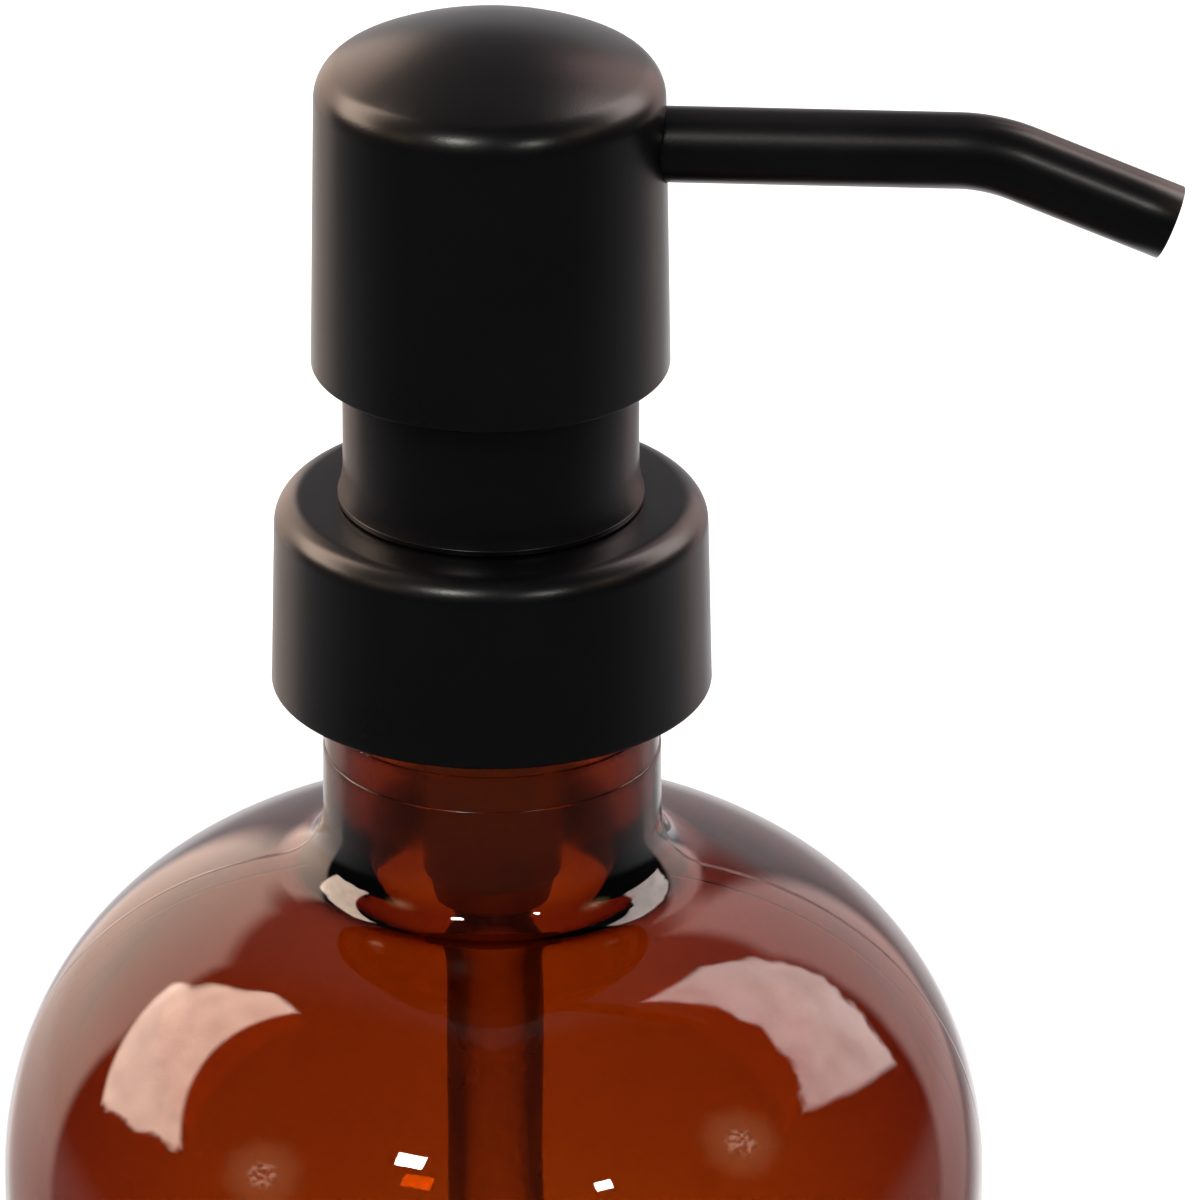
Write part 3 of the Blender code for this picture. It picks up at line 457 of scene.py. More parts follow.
def bottle_outline():
    inner_radius = BODY_RADIUS - SIDE_WALL
    bore = NECK_RADIUS - NECK_WALL
    floor_radius = inner_radius - INNER_HEEL
    inside = []
    for i in range(FLOOR_STEPS + 1):
        share = i / FLOOR_STEPS
        crown = BASE_CROWN * (0.5 + 0.5 * math.cos(math.pi * share))
        inside.append((floor_radius * share, BASE_WALL + crown))
    inside += arc((floor_radius, BASE_WALL + INNER_HEEL), INNER_HEEL, -90, 0, HEEL_STEPS)[1:]
    side_foot = BASE_WALL + INNER_HEEL
    inside += [(inner_radius, side_foot + (SIDE_HEIGHT - side_foot) * i / SIDE_ROWS)
               for i in range(1, SIDE_ROWS)]
    inside += reversed(shoulder_and_fillet(bore, SHOULDER_INNER_RADIUS - SIDE_WALL, inner_radius,
                                           SHOULDER_RISE - SHOULDER_WALL, NECK_FILLET / 2))
    inside += arc((bore + RIM_ROUND, RIM_Z - RIM_ROUND), RIM_ROUND, 180, 90, 6)

    outside = arc((NECK_RADIUS - RIM_ROUND, RIM_Z - RIM_ROUND), RIM_ROUND, 90, 0, 6)
    neck_radius = NECK_RADIUS
    for ledge_depth in (FINISH_DEPTH, PART_LINE_DEPTH):
        ledge_z = RIM_Z - ledge_depth
        outside.append((neck_radius, ledge_z + LEDGE_CLEAR))
        outside += arc((neck_radius, ledge_z), LEDGE, 80, 0, 4)
        neck_radius += LEDGE
        outside.append((neck_radius, ledge_z - LEDGE_CLEAR))
    outside += shoulder_and_fillet(neck_radius + NECK_FLARE, SHOULDER_INNER_RADIUS, BODY_RADIUS,
                                   SHOULDER_RISE, NECK_FILLET)
    outside += [(BODY_RADIUS, HEEL_RADIUS + (SIDE_HEIGHT - HEEL_RADIUS) * (1 - i / SIDE_ROWS))
                for i in range(1, SIDE_ROWS)]
    outside += arc((BODY_RADIUS - HEEL_RADIUS, HEEL_RADIUS), HEEL_RADIUS, 0, -90, HEEL_STEPS)
    foot_inner = FOOT_RADIUS - FOOT_WIDTH
    outside += [(FOOT_RADIUS, 0.0), (foot_inner, 0.0)]
    for i in range(1, FLOOR_STEPS + 1):
        share = i / FLOOR_STEPS
        outside.append((foot_inner * (1 - share), BASE_HOLLOW * math.sin(share * math.pi / 2)))
    return inside + outside


bottle = turn_outline("bottle_glass", bottle_outline(), SMOOTH_TURN, solid=True)

# %% [markdown]
# Hot glass never lies quite evenly against the air inside, so the inner wall wanders a little.
# A Displace modifier with a slow cloud texture does that, held to the inner wall by a vertex
# group. It makes the light in the glass look blown and not machined.

# %% The uneven inner wall
WANDER = 0.5 * MM
CLOUD_SIZE = 22 * MM
FLOOR_CLEAR = 2.4 * MM               # above the hollow foot, below the inner floor
CALM_RADIUS = 12 * MM                # the wander fades out towards the middle of the floor


def wander_inner_wall(piece):
    inner = piece.vertex_groups.new(name="inner_wall")
    limit = BODY_RADIUS - 0.5 * SIDE_WALL
    for vertex in piece.data.vertices:
        x, y, z = vertex.co
        radius = math.hypot(x, y)
        top = shoulder_height(max(radius, NECK_RADIUS), SHOULDER_INNER_RADIUS, BODY_RADIUS,
                              SHOULDER_RISE) if radius < BODY_RADIUS - MM else SIDE_HEIGHT
        if z > FLOOR_CLEAR and radius < limit and z < top - 0.5 * SHOULDER_WALL:
            inner.add([vertex.index], min(1.0, radius / CALM_RADIUS), "REPLACE")
    clouds = bpy.data.textures.new("slow_clouds", "CLOUDS")
    clouds.noise_scale = CLOUD_SIZE
    clouds.noise_depth = 1
    deselect()
    apply_modifier(piece, "DISPLACE", texture=clouds, texture_coords="LOCAL", strength=WANDER,
                   mid_level=0.5, vertex_group=inner.name)


wander_inner_wall(bottle)

# %% [markdown]
# The foot's ring is knurled, so that the hot bottle doesn't stick to the belt. Every second
# facet of the ring is lifted by a hair.

# %% Knurling under the foot
KNURL_LIFT = 0.18 * MM
KNURL_REACH = 1.5 * MM               # in from the ring's outer edge
ON_TABLE = 0.001 * MM


def knurl_foot(piece):
    step = math.tau / SMOOTH_TURN
    for vertex in piece.data.vertices:
        x, y, z = vertex.co
        radius = math.hypot(x, y)
        on_ring = z < ON_TABLE and radius > FOOT_RADIUS - KNURL_REACH
        if on_ring and round(math.atan2(y, x) / step) % 2:
            vertex.co.z += KNURL_LIFT


knurl_foot(bottle)

# %% [markdown]
# ### The screw thread
#
# The thread is one bead that climbs a pitch for each turn. Its section is extruded upwards in
# small steps, the stack is wrapped round the neck, and the bead is united with the glass. It shows
# when the pump is lifted off.

# %% The glass thread
THREAD_PITCH = 4.233 * MM
THREAD_TURNS = 1.25
THREAD_RADIUS = 13.75 * MM
THREAD_BEAD = 2.1 * MM
THREAD_TOP = 1.2 * MM
THREAD_CREST = 1.1 * MM
THREAD_ROOT = NECK_RADIUS - 0.6 * MM  # sunk in the glass, so that the two unite cleanly
THREAD_STEPS = 60                    # steps for each turn
RUN_OUT = 0.12                       # share of a turn in which an end fades out
RUN_OUT_REACH = 0.35                 # how much of the ridge is left at its very end
UPRIGHT = (math.pi / 2, 0, 0)


def thread_ridge(name, root, crest, root_width, crest_width, start_angle, start_z, turns):
    """A right-hand ridge: a section is extruded, turned and lifted round the axis."""
    count = round(turns * THREAD_STEPS)
    lift = THREAD_PITCH / THREAD_STEPS
    deselect()
    bpy.ops.mesh.primitive_plane_add(size=START_SIZE, location=(0, 0, 0), rotation=UPRIGHT)
    piece = active_piece(name)
    bpy.ops.object.transform_apply(rotation=True)
    corners = [(root, -root_width / 2), (crest, -crest_width / 2),
               (crest, crest_width / 2), (root, root_width / 2)]
    for vertex, (r, z) in zip((piece.data.vertices[i] for i in (0, 1, 3, 2)), corners):
        vertex.co = (r, 0.0, z)
    edit_all()
    for _ in range(count):
        extrude((0, 0, lift))
    bpy.ops.object.mode_set(mode="OBJECT")
    # Each row was lifted straight up. Now the stack is wrapped round the axis.
    for row in range(count + 1):
        done = row / THREAD_STEPS
        fade = min(1.0, done / RUN_OUT, (turns - done) / RUN_OUT)
        turn = Matrix.Rotation(start_angle + math.tau * done, 3, "Z")
        for vertex in piece.data.vertices[4 * row:4 * row + 4]:
            section_z = vertex.co.z - row * lift
            reach = root + (vertex.co.x - root) * (RUN_OUT_REACH + (1 - RUN_OUT_REACH) * fade)
            vertex.co = turn @ Vector((reach, 0.0, section_z + start_z + row * lift))
    edit_all()
    close_up(weld=False)
    return piece


thread_low = RIM_Z - THREAD_TOP - THREAD_BEAD / 2 - THREAD_TURNS * THREAD_PITCH
thread = thread_ridge("glass_thread", THREAD_ROOT, THREAD_RADIUS, THREAD_BEAD, THREAD_CREST,
                      0.0, thread_low, THREAD_TURNS)
unite_or_cut(bottle, thread, "UNION")
settle(bottle, "bottle", "amber_glass", GLASS, "bottle")

# %% [markdown]
# ## The closure
#
# What looks like one black ring is two pieces: a thin metal shell, drawn over a plastic screw
# cap. The shell's outline is its rounded corner, run once at full size and once inset by the
# wall.

# %% The collar's metal shell
collar_low, collar_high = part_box("collar_shell")
cap_low, cap_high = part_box("threaded_cap")
COLLAR_WALL = 0.5 * MM
COLLAR_FILLET = 2.1 * MM
COLLAR_FOOT_RADIUS = collar_high.x
COLLAR_DRAFT = 0.3 * MM
COLLAR_TOP_RADIUS = COLLAR_FOOT_RADIUS - COLLAR_DRAFT
CLOSURE_HOLE = 10.6 * MM


def collar_outline():
    centre = (COLLAR_TOP_RADIUS - COLLAR_FILLET, collar_high.z - COLLAR_FILLET)
    foot = COLLAR_FOOT_RADIUS
    low = collar_low.z
    outline = [(CLOSURE_HOLE, collar_high.z), (CLOSURE_HOLE + MM, collar_high.z)]
    outline += arc(centre, COLLAR_FILLET, 90, 0, 14)
    outline += [(foot - 0.02 * MM, low + 0.5 * MM)]
    outline += arc((foot - COLLAR_WALL / 2, low + COLLAR_WALL / 2), COLLAR_WALL / 2, 0, -180, 8)
    outline += reversed(arc(centre, COLLAR_FILLET - COLLAR_WALL, 90, 0, 10))
    outline += [(CLOSURE_HOLE, collar_high.z - COLLAR_WALL)]
    return outline


collar = turn_outline("collar_metal", collar_outline())
settle(collar, "closure", "satin_black_metal", SATIN, "collar_shell")

# %% [markdown]
# The screw cap inside it carries the matching thread, and its foot is all that shows.

# %% The screw cap
CAP_BORE = 14.1 * MM
CAP_PLATE = 1.2 * MM
CAP_CREST = 12.95 * MM
CAP_RIDGE = 1.2 * MM
CAP_RIDGE_CREST = 0.8 * MM
CAP_EDGE = 0.3 * MM
CAP_CORNER = 0.6 * MM


def cap_outline():
    radius = cap_high.x
    fillet = COLLAR_FILLET - COLLAR_WALL - CAP_EDGE
    outline = [(CLOSURE_HOLE, cap_high.z)]
    outline += arc((radius - fillet, cap_high.z - fillet), fillet, 90, 0, 8)
    outline += [(radius, cap_low.z + 0.2 * MM), (radius - 0.2 * MM, cap_low.z),
                (CAP_BORE + CAP_EDGE, cap_low.z), (CAP_BORE, cap_low.z + CAP_EDGE)]
    outline += arc((CAP_BORE - CAP_CORNER, cap_high.z - CAP_PLATE - CAP_CORNER), CAP_CORNER,
                   0, 90, 4)
    outline += [(CLOSURE_HOLE, cap_high.z - CAP_PLATE)]
    return outline


cap = turn_outline("screw_cap", cap_outline(), CAP_TURN)
ridge_low = cap_low.z + CAP_RIDGE / 2 + CAP_EDGE
ridge_turn = (ridge_low - (thread_low - THREAD_PITCH / 2)) / THREAD_PITCH
ridge = thread_ridge("cap_ridge", CAP_BORE + 0.5 * MM, CAP_CREST, CAP_RIDGE, CAP_RIDGE_CREST,
                     math.tau * ridge_turn, ridge_low, 1.0)
unite_or_cut(cap, ridge, "UNION")
settle(cap, "closure", "black_plastic", BLACK_PLASTIC, "threaded_cap")

# %% [markdown]
# ## The sleeve and the head
#
# The sleeve is a metal tube that flares to a small rolled lip, which sits on the collar. The head
# is a deep-drawn cup with a low dome, a rounded shoulder and a very slight taper. The spout passes
# through a hole in its side, so a round bar is cut out of the finished cup.

# %% The sleeve
sleeve_low, sleeve_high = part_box("sleeve_shell")
SLEEVE_RADIUS = 11.1 * MM
SLEEVE_BORE = 10.6 * MM
LIP_HEIGHT = 0.3 * MM
LIP_ROUND = 0.12 * MM
FLARE_HEIGHT = 2.3 * MM
SLEEVE_EDGE = (0.1 * MM, 0.2 * MM)   # chamfer of the top edge, across and down
SLEEVE_SINK = 0.2 * MM               # the lip's foot goes down into the collar's hole


def sleeve_outline():
    lip = sleeve_high.x
    low = sleeve_low.z - SLEEVE_SINK
    lip_top = sleeve_low.z + LIP_HEIGHT
    reach = lip - SLEEVE_RADIUS
    flare_radius = (FLARE_HEIGHT ** 2 + reach ** 2) / (2 * reach)
    flare_angle = math.degrees(math.asin(FLARE_HEIGHT / flare_radius))
    centre = (SLEEVE_RADIUS + flare_radius, lip_top + FLARE_HEIGHT)
    outline = [(SLEEVE_BORE, low), (lip - LIP_ROUND, low)]
    outline += arc((lip - LIP_ROUND, low + LIP_ROUND), LIP_ROUND, -90, 0, 6)
    outline += arc((lip - LIP_ROUND, lip_top - LIP_ROUND), LIP_ROUND, 0, 60, 4)
    outline += arc(centre, flare_radius, 180 + flare_angle, 180, 10)
    across, down = SLEEVE_EDGE
    outline += [(SLEEVE_RADIUS, sleeve_high.z - down), (SLEEVE_RADIUS - across, sleeve_high.z),
                (SLEEVE_BORE + across, sleeve_high.z), (SLEEVE_BORE, sleeve_high.z - down)]
    return outline


sleeve = turn_outline("sleeve_metal", sleeve_outline())
settle(sleeve, "pump_unit", "satin_black_metal", SATIN, "sleeve_shell")

# %% The head's cup
head_low, head_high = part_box("head_shell")
spout_low, spout_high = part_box("spout")
HEAD_WALL = 0.6 * MM
HEAD_FOOT_RADIUS = head_high.x
HEAD_DRAFT = 0.34 * MM               # how much wider the head is at its foot
HEAD_RADIUS = HEAD_FOOT_RADIUS - HEAD_DRAFT
HEAD_FILLET = 3.0 * MM
DOME_RADIUS = 25.5 * MM
SPOUT_RADIUS = (spout_high.y - spout_low.y) / 2
SPOUT_Z = spout_high.z - SPOUT_RADIUS
HOLE_CLEARANCE = 0.06 * MM
SIDEWAYS = (0, math.pi / 2, 0)


def head_side(inset):
    """The head's side from the top of its dome down to the end of the shoulder's round."""
    dome_z = head_high.z - DOME_RADIUS
    fillet_r = HEAD_RADIUS - HEAD_FILLET
    rise = math.sqrt((DOME_RADIUS - HEAD_FILLET) ** 2 - fillet_r ** 2)
    tangent = math.degrees(math.atan2(rise, fillet_r))
    points = arc((0.0, dome_z), DOME_RADIUS - inset, 90, tangent, 16)
    return points + arc((fillet_r, dome_z + rise), HEAD_FILLET - inset, tangent, 0, 14)[1:]


def head_outline():
    edge = HEAD_WALL / 2
    outline = head_side(0.0)
    outline += arc((HEAD_FOOT_RADIUS - edge, head_low.z + edge), edge, 0, -180, 10)
    outline += reversed(head_side(HEAD_WALL))
    return outline


head = turn_outline("head_metal", head_outline(), solid=True)
deselect()
bpy.ops.mesh.primitive_cylinder_add(vertices=INNER_TURN, radius=SPOUT_RADIUS + HOLE_CLEARANCE,
                                    depth=20 * MM, location=(15 * MM, 0, SPOUT_Z),
                                    rotation=SIDEWAYS)
unite_or_cut(head, active_piece("spout_hole"), "DIFFERENCE")
settle(head, "head", "satin_black_metal", SATIN, "head_shell")

# %% [markdown]
# ## The spout
#
# The spout is a length of thin tube, bent once near its end and cut off square. It is built the
# way it is bent: a circle is extruded along the straight run, spun round the bend's centre by
# the bend's angle, and extruded again. A Solidify modifier gives the tube its wall, inwards, and
# a small bevel takes the sharp edge off the cut.

# %% The spout's tube
SPOUT_STRAIGHT = 34.6 * MM
SPOUT_BEND = math.radians(22)
SPOUT_BEND_RADIUS = 12.8 * MM
SPOUT_TIP = 11.9 * MM
SPOUT_WALL = 0.5 * MM
SPOUT_EDGE = 0.08 * MM
STRAIGHT_ROWS = 12
BEND_ROWS = 16
TIP_ROWS = 4


def bent_tube(name, radius, wall, trim, vertices=64):
    start = spout_low.x
    deselect()
    bpy.ops.mesh.primitive_circle_add(vertices=vertices, radius=radius, fill_type="NOTHING",
                                      location=(start, 0, SPOUT_Z), rotation=SIDEWAYS)
    piece = active_piece(name)
    bpy.ops.object.transform_apply(location=True, rotation=True)
    edit_all()
    for _ in range(STRAIGHT_ROWS):
        extrude(((SPOUT_STRAIGHT - start) / STRAIGHT_ROWS, 0, 0))
    bpy.ops.mesh.spin(steps=BEND_ROWS, angle=SPOUT_BEND, axis=(0, -1, 0),
                      center=(SPOUT_STRAIGHT, 0, SPOUT_Z - SPOUT_BEND_RADIUS))
    ahead = Vector((math.cos(SPOUT_BEND), 0, -math.sin(SPOUT_BEND)))
    for _ in range(TIP_ROWS):
        extrude(ahead * (SPOUT_TIP - trim) / TIP_ROWS)
    close_up()
    apply_modifier(piece, "SOLIDIFY", thickness=wall, offset=-1)
    apply_modifier(piece, "BEVEL", width=SPOUT_EDGE, segments=2, limit_method="ANGLE",
                   angle_limit=math.radians(60))
    bpy.ops.object.shade_smooth_by_angle(angle=math.radians(40))
    return piece


spout = bent_tube("spout_metal", SPOUT_RADIUS, SPOUT_WALL, 0.0)
settle(spout, "head", "satin_black_metal", SATIN, "spout")

# %% [markdown]
# Inside the metal runs the plastic nozzle tube that the soap touches. Its end shows as a dark
# ring inside the cut.

# %% The nozzle tube
LINER_RADIUS = 2.05 * MM
LINER_WALL = 0.7 * MM
LINER_RECESS = 0.8 * MM
liner = bent_tube("nozzle_tube", LINER_RADIUS, LINER_WALL, LINER_RECESS, 48)
settle(liner, "head", "black_plastic", BLACK_PLASTIC, "spout_liner")

# %% [markdown]
# ## The pump below the collar
#
# The housing and the dip tube show through the glass as a darker band. They are plain turned
# pieces, with small rounds on every edge because a mould can't make a sharp one. The tube's foot
# is cut on a slant, so that it can't seal itself against the bottle's floor.

# %% The housing and the dip tube
housing_low, housing_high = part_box("pump_housing")
tube_low, tube_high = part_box("dip_tube")
TUBE_RADIUS = tube_high.x
TUBE_WALL = 0.8 * MM
TUBE_CUT = math.radians(35)
BARREL_RADIUS = 5.25 * MM
BARREL_BORE = 4.45 * MM
SOCKET_RADIUS = 4.7 * MM
SOCKET_BORE = 3.9 * MM
SEAT_RADIUS = 1.4 * MM
FLANGE_THICKNESS = 1.2 * MM
BARREL_FLOOR = 1.2 * MM
BALL_CHAMBER = 0.3 * MM               # rise from the tube's top to the housing's seat
MOULD_ROUND = 0.15 * MM


def inner_piece(name, corners, body, slot, finish, node, rounding=MOULD_ROUND):
    """A turned moulding from its corners, with every corner rounded."""
    piece = turn_outline(name, round_corners(corners, rounding, 2), INNER_TURN)
    settle(piece, body, slot, finish, node)


def housing_outline():
    top = housing_high.z
    under = top - FLANGE_THICKNESS
    seat = tube_high.z + BALL_CHAMBER
    floor = seat + BARREL_FLOOR
    return [(BARREL_BORE, top), (housing_high.x, top), (housing_high.x, under),
            (BARREL_RADIUS, under), (BARREL_RADIUS, floor), (SOCKET_RADIUS, seat),
            (SOCKET_RADIUS, housing_low.z), (SOCKET_BORE, housing_low.z), (SOCKET_BORE, seat),
            (SEAT_RADIUS, seat), (SEAT_RADIUS, floor), (BARREL_BORE, floor)]


inner_piece("housing", housing_outline(), "pump_unit", "pump_plastic", PUMP_PLASTIC,
            "pump_housing")


def slanted_tube():
    bore = TUBE_RADIUS - TUBE_WALL
    low = tube_low.z + TUBE_RADIUS * math.tan(TUBE_CUT)
    outline = [(bore, low), (TUBE_RADIUS, low), (TUBE_RADIUS, tube_high.z), (bore, tube_high.z)]
    piece = turn_outline("dip_tube_smooth", round_corners(outline, MOULD_ROUND, 2), INNER_TURN)
    middle = (low + tube_high.z) / 2
    for vertex in piece.data.vertices:
        if vertex.co.z < middle:
            vertex.co.z += vertex.co.x * math.tan(TUBE_CUT)
    return piece


settle(slanted_tube(), "pump_unit", "pump_plastic", TUBE_PLASTIC, "dip_tube")

# %% [markdown]
# ## The works inside
#
# The pieces that nobody sees until the pump comes apart are turned the same way, each from a
# short list of corners.

# %% Turned inner pieces
CLEARANCE = 0.3 * MM


def seal_ring(name, node, inner, rounding):
    low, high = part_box(node)
    inner_piece(name, [(inner, low.z), (high.x, low.z), (high.x, high.z), (inner, high.z)],
                "pump_unit", "seal_rubber", RUBBER, node, rounding)


GASKET_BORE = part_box("gasket")[1].x - 4.4 * MM
seal_ring("gasket_ring", "gasket", GASKET_BORE, 0.25 * MM)

chaplet_low, chaplet_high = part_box("chaplet")
STEM_RADIUS = 3.0 * MM
GUIDE_RADIUS = STEM_RADIUS + CLEARANCE
CHIMNEY_RADIUS = 10.3 * MM
CHIMNEY_BORE = 9.1 * MM
CHAPLET_PLATE = 1.0 * MM
chimney_floor = chaplet_low.z + CHAPLET_PLATE
inner_piece("chimney", [(GUIDE_RADIUS, chimney_floor), (CHIMNEY_BORE, chimney_floor),
                        (CHIMNEY_BORE, chaplet_high.z), (CHIMNEY_RADIUS, chaplet_high.z),
                        (CHIMNEY_RADIUS, chimney_floor), (chaplet_high.x, chimney_floor),
                        (chaplet_high.x, chaplet_low.z), (GUIDE_RADIUS, chaplet_low.z)],
            "pump_unit", "pump_plastic", PUMP_PLASTIC, "chaplet")

seal_ring("stem_wiper", "stem_seal", GUIDE_RADIUS, 0.2 * MM)

piston_low, piston_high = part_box("piston")
PISTON_LIP = 1.2 * MM
PISTON_WAIST = 0.35 * MM
PISTON_FLOOR = 0.8 * MM
waist = piston_high.x - PISTON_WAIST
ROD_RADIUS = 1.3 * MM
inner_piece("piston_cup", [(GUIDE_RADIUS, piston_high.z), (piston_high.x, piston_high.z),
                           (piston_high.x, piston_high.z - PISTON_LIP),
                           (waist, piston_high.z - 2 * PISTON_LIP),
                           (waist, piston_low.z + 2 * PISTON_LIP),
                           (piston_high.x, piston_low.z + PISTON_LIP),
                           (piston_high.x, piston_low.z),
                           (ROD_RADIUS + CLEARANCE, piston_low.z),
                           (ROD_RADIUS + CLEARANCE, piston_low.z + PISTON_FLOOR),
                           (GUIDE_RADIUS, piston_low.z + PISTON_FLOOR)],
            "plunger", "soft_plastic", SOFT_PLASTIC, "piston")

stem_low, stem_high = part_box("stem")
outlet_low, outlet_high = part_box("outlet_ball")
STEM_BORE = 1.6 * MM
OUTLET_SEAT_RADIUS = 1.1 * MM
outlet_radius = outlet_high.x
outlet_chamber = outlet_radius + 0.4 * MM
outlet_middle = (outlet_low.z + outlet_high.z) / 2
outlet_seat = (outlet_middle
               - math.sqrt((outlet_radius + CLEARANCE) ** 2 - OUTLET_SEAT_RADIUS ** 2))
inner_piece("hollow_stem", [(STEM_BORE, stem_low.z), (STEM_RADIUS, stem_low.z),
                            (STEM_RADIUS, stem_high.z), (outlet_chamber, stem_high.z),
                            (outlet_chamber, outlet_seat), (OUTLET_SEAT_RADIUS, outlet_seat),
                            (OUTLET_SEAT_RADIUS, outlet_seat - MM), (STEM_BORE, outlet_seat - MM)],
            "head", "pump_plastic", PUMP_PLASTIC, "stem")

rod_low, rod_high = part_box("piston_rod")
ROD_BORE = 0.7 * MM
ROD_FLANGE = 1.0 * MM
inner_piece("rod_plug", [(ROD_BORE, rod_low.z), (rod_high.x, rod_low.z),
                         (rod_high.x, rod_low.z + ROD_FLANGE), (ROD_RADIUS, rod_low.z + ROD_FLANGE),
                         (ROD_RADIUS, rod_high.z), (ROD_BORE, rod_high.z)],
            "head", "pump_plastic", PUMP_PLASTIC, "piston_rod")

# %% [markdown]
# ### Balls and spring
#
# The balls are true spheres with enough facets to look round close up. The spring is a curve
# wound by a formula, with its end turns closed up, given a round section and made a mesh. It
# can't move as a rigid piece, but here it rides on the pump unit at the frame's length.

# %% The valve balls
def valve_ball(name, node, body):
    low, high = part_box(node)
    deselect()
    bpy.ops.mesh.primitive_ico_sphere_add(subdivisions=4, radius=(high.x - low.x) / 2,
                                          location=(low + high) / 2)
    piece = active_piece(name)
    bpy.ops.object.transform_apply(location=True)
    bpy.ops.object.shade_smooth()
    settle(piece, body, "bright_steel", STEEL, node)


valve_ball("lower_ball", "inlet_ball", "inlet_ball")
valve_ball("upper_ball", "outlet_ball", "outlet_ball")

# %% The return spring
spring_low, spring_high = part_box("spring")
WIRE_RADIUS = 0.45 * MM
SPRING_RADIUS = 5.6 * MM
SPRING_TURNS = 7.5
CLOSED_TURNS = 1.0
CLOSED_PITCH = 2.05 * WIRE_RADIUS    # touching turns, with a hair between them
WIRE_STEPS = 40                      # points in each turn


def spring_height(turn):
    """Height of the wire's middle: the first and last turns lie closed, the others are open."""
    low, high = spring_low.z + WIRE_RADIUS, spring_high.z - WIRE_RADIUS
    if turn < CLOSED_TURNS:
        return low + CLOSED_PITCH * turn / CLOSED_TURNS
    if turn > SPRING_TURNS - CLOSED_TURNS:
        return high - CLOSED_PITCH * (SPRING_TURNS - turn) / CLOSED_TURNS
    share = (turn - CLOSED_TURNS) / (SPRING_TURNS - 2 * CLOSED_TURNS)
    return low + CLOSED_PITCH + (high - low - 2 * CLOSED_PITCH) * share


def wind_spring():
    count = round(SPRING_TURNS * WIRE_STEPS)
    wire = bpy.data.curves.new("spring_wire", "CURVE")
    wire.dimensions = "3D"
    wire.bevel_depth = WIRE_RADIUS
    wire.bevel_resolution = 3
    wire.use_fill_caps = True
    line = wire.splines.new("POLY")
    line.points.add(count)
    for i, point in enumerate(line.points):
        angle = math.tau * i / WIRE_STEPS
        point.co = (SPRING_RADIUS * math.cos(angle), SPRING_RADIUS * math.sin(angle),
                    spring_height(i / WIRE_STEPS), 1)
    piece = bpy.data.objects.new("spring_wire", wire)
    bpy.context.scene.collection.objects.link(piece)
    deselect()
    piece.select_set(True)
    bpy.context.view_layer.objects.active = piece
    bpy.ops.object.convert(target="MESH")
    piece = active_piece("return_spring")
    bpy.ops.object.shade_smooth_by_angle(angle=math.radians(50))
    return piece


spring = wind_spring()
settle(spring, "pump_unit", "bright_steel", STEEL, "spring")
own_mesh(spring)

# %% [markdown]
# The ball cage and the head's core keep the frame's own meshes: they are sealed in, and their
# cross-drilled shapes are already right. They only need their finishes.

# %% Finishes for the pieces that stay
def refinish(node, finish):
    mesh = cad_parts[node].data
    mesh.materials.clear()
    mesh.materials.append(finish)


refinish("ball_cage", PUMP_PLASTIC)
refinish("head_core", BLACK_PLASTIC)

# %% [markdown]
# ## The studio
#
# Black satin and glass show little of their own colour and much of what stands round them. So
# the light is laid out for what they reflect: two windows at the sides for the glass, pale walls
# behind for its edges, two small lamps in front for sparks, and a dark front, which keeps the
# black parts black. The pale sweep is lit from above.

# %% The pale sweep
STAGE_RADIUS = 6.0
STAGE_WALL = 3.5
STAGE_BEND = 1.0
STAGE_TURN = 96
SWEEP_PALE = (0.86, 0.86, 0.86)


def make_stage():
    outline = [(0.0, 0.0), (0.3, 0.0), (1.0, 0.0), (STAGE_RADIUS - STAGE_BEND, 0.0)]
    outline += arc((STAGE_RADIUS - STAGE_BEND, STAGE_BEND), STAGE_BEND, -90, 0, 10)[1:]
    outline += [(STAGE_RADIUS, STAGE_WALL)]
    sweep = turn_outline("studio_sweep", outline, STAGE_TURN, solid=True)
    sweep.data.materials.append(new_finish("pale_sweep", SWEEP_PALE, 0.9)[0])
    sweep.visible_glossy = False
    sweep.visible_shadow = False


make_stage()

# %% [markdown]
# A lamp is placed by its azimuth from the pump, where 0 is the front and 90 is the spout's side,
# its elevation, and its distance. It always faces the pump.

# %% Lamps
AIM = Vector((0.0, 0.0, 150 * MM))


LAMP_WHITE = (1.0, 0.97, 0.9)


def direction(azimuth, elevation):
    """The unit vector towards an azimuth and an elevation in degrees."""
    turn, rise = math.radians(azimuth), math.radians(elevation)
    return Vector((math.sin(turn) * math.cos(rise), -math.cos(turn) * math.cos(rise),
                   math.sin(rise)))


def soft_light(name, azimuth, elevation, distance, width, height, radiance, colour=(1, 1, 1)):
    """A rectangle of even light. Its power follows from its size and how bright it looks."""
    lamp = bpy.data.lights.new(name, "AREA")
    lamp.shape = "RECTANGLE"
    lamp.size = width
    lamp.size_y = height
    lamp.energy = radiance * math.pi * width * height
    lamp.color = colour
    placed = bpy.data.objects.new(name, lamp)
    away = direction(azimuth, elevation)
    placed.location = AIM + away * distance
    placed.rotation_euler = away.to_track_quat("Z", "Y").to_euler()
    placed.visible_camera = False
    bpy.context.scene.collection.objects.link(placed)
    return placed


overhead = soft_light("overhead", azimuth=0, elevation=90, distance=2.6, width=3.6, height=3.6,
                      radiance=2.3)
overhead.visible_glossy = False
overhead.visible_transmission = False
soft_light("front_lamp_left", azimuth=-22, elevation=46, distance=1.2, width=0.13, height=0.09,
           radiance=110.0, colour=LAMP_WHITE)
soft_light("front_lamp_right", azimuth=34, elevation=36, distance=1.2, width=0.08, height=0.06,
           radiance=90.0, colour=LAMP_WHITE)

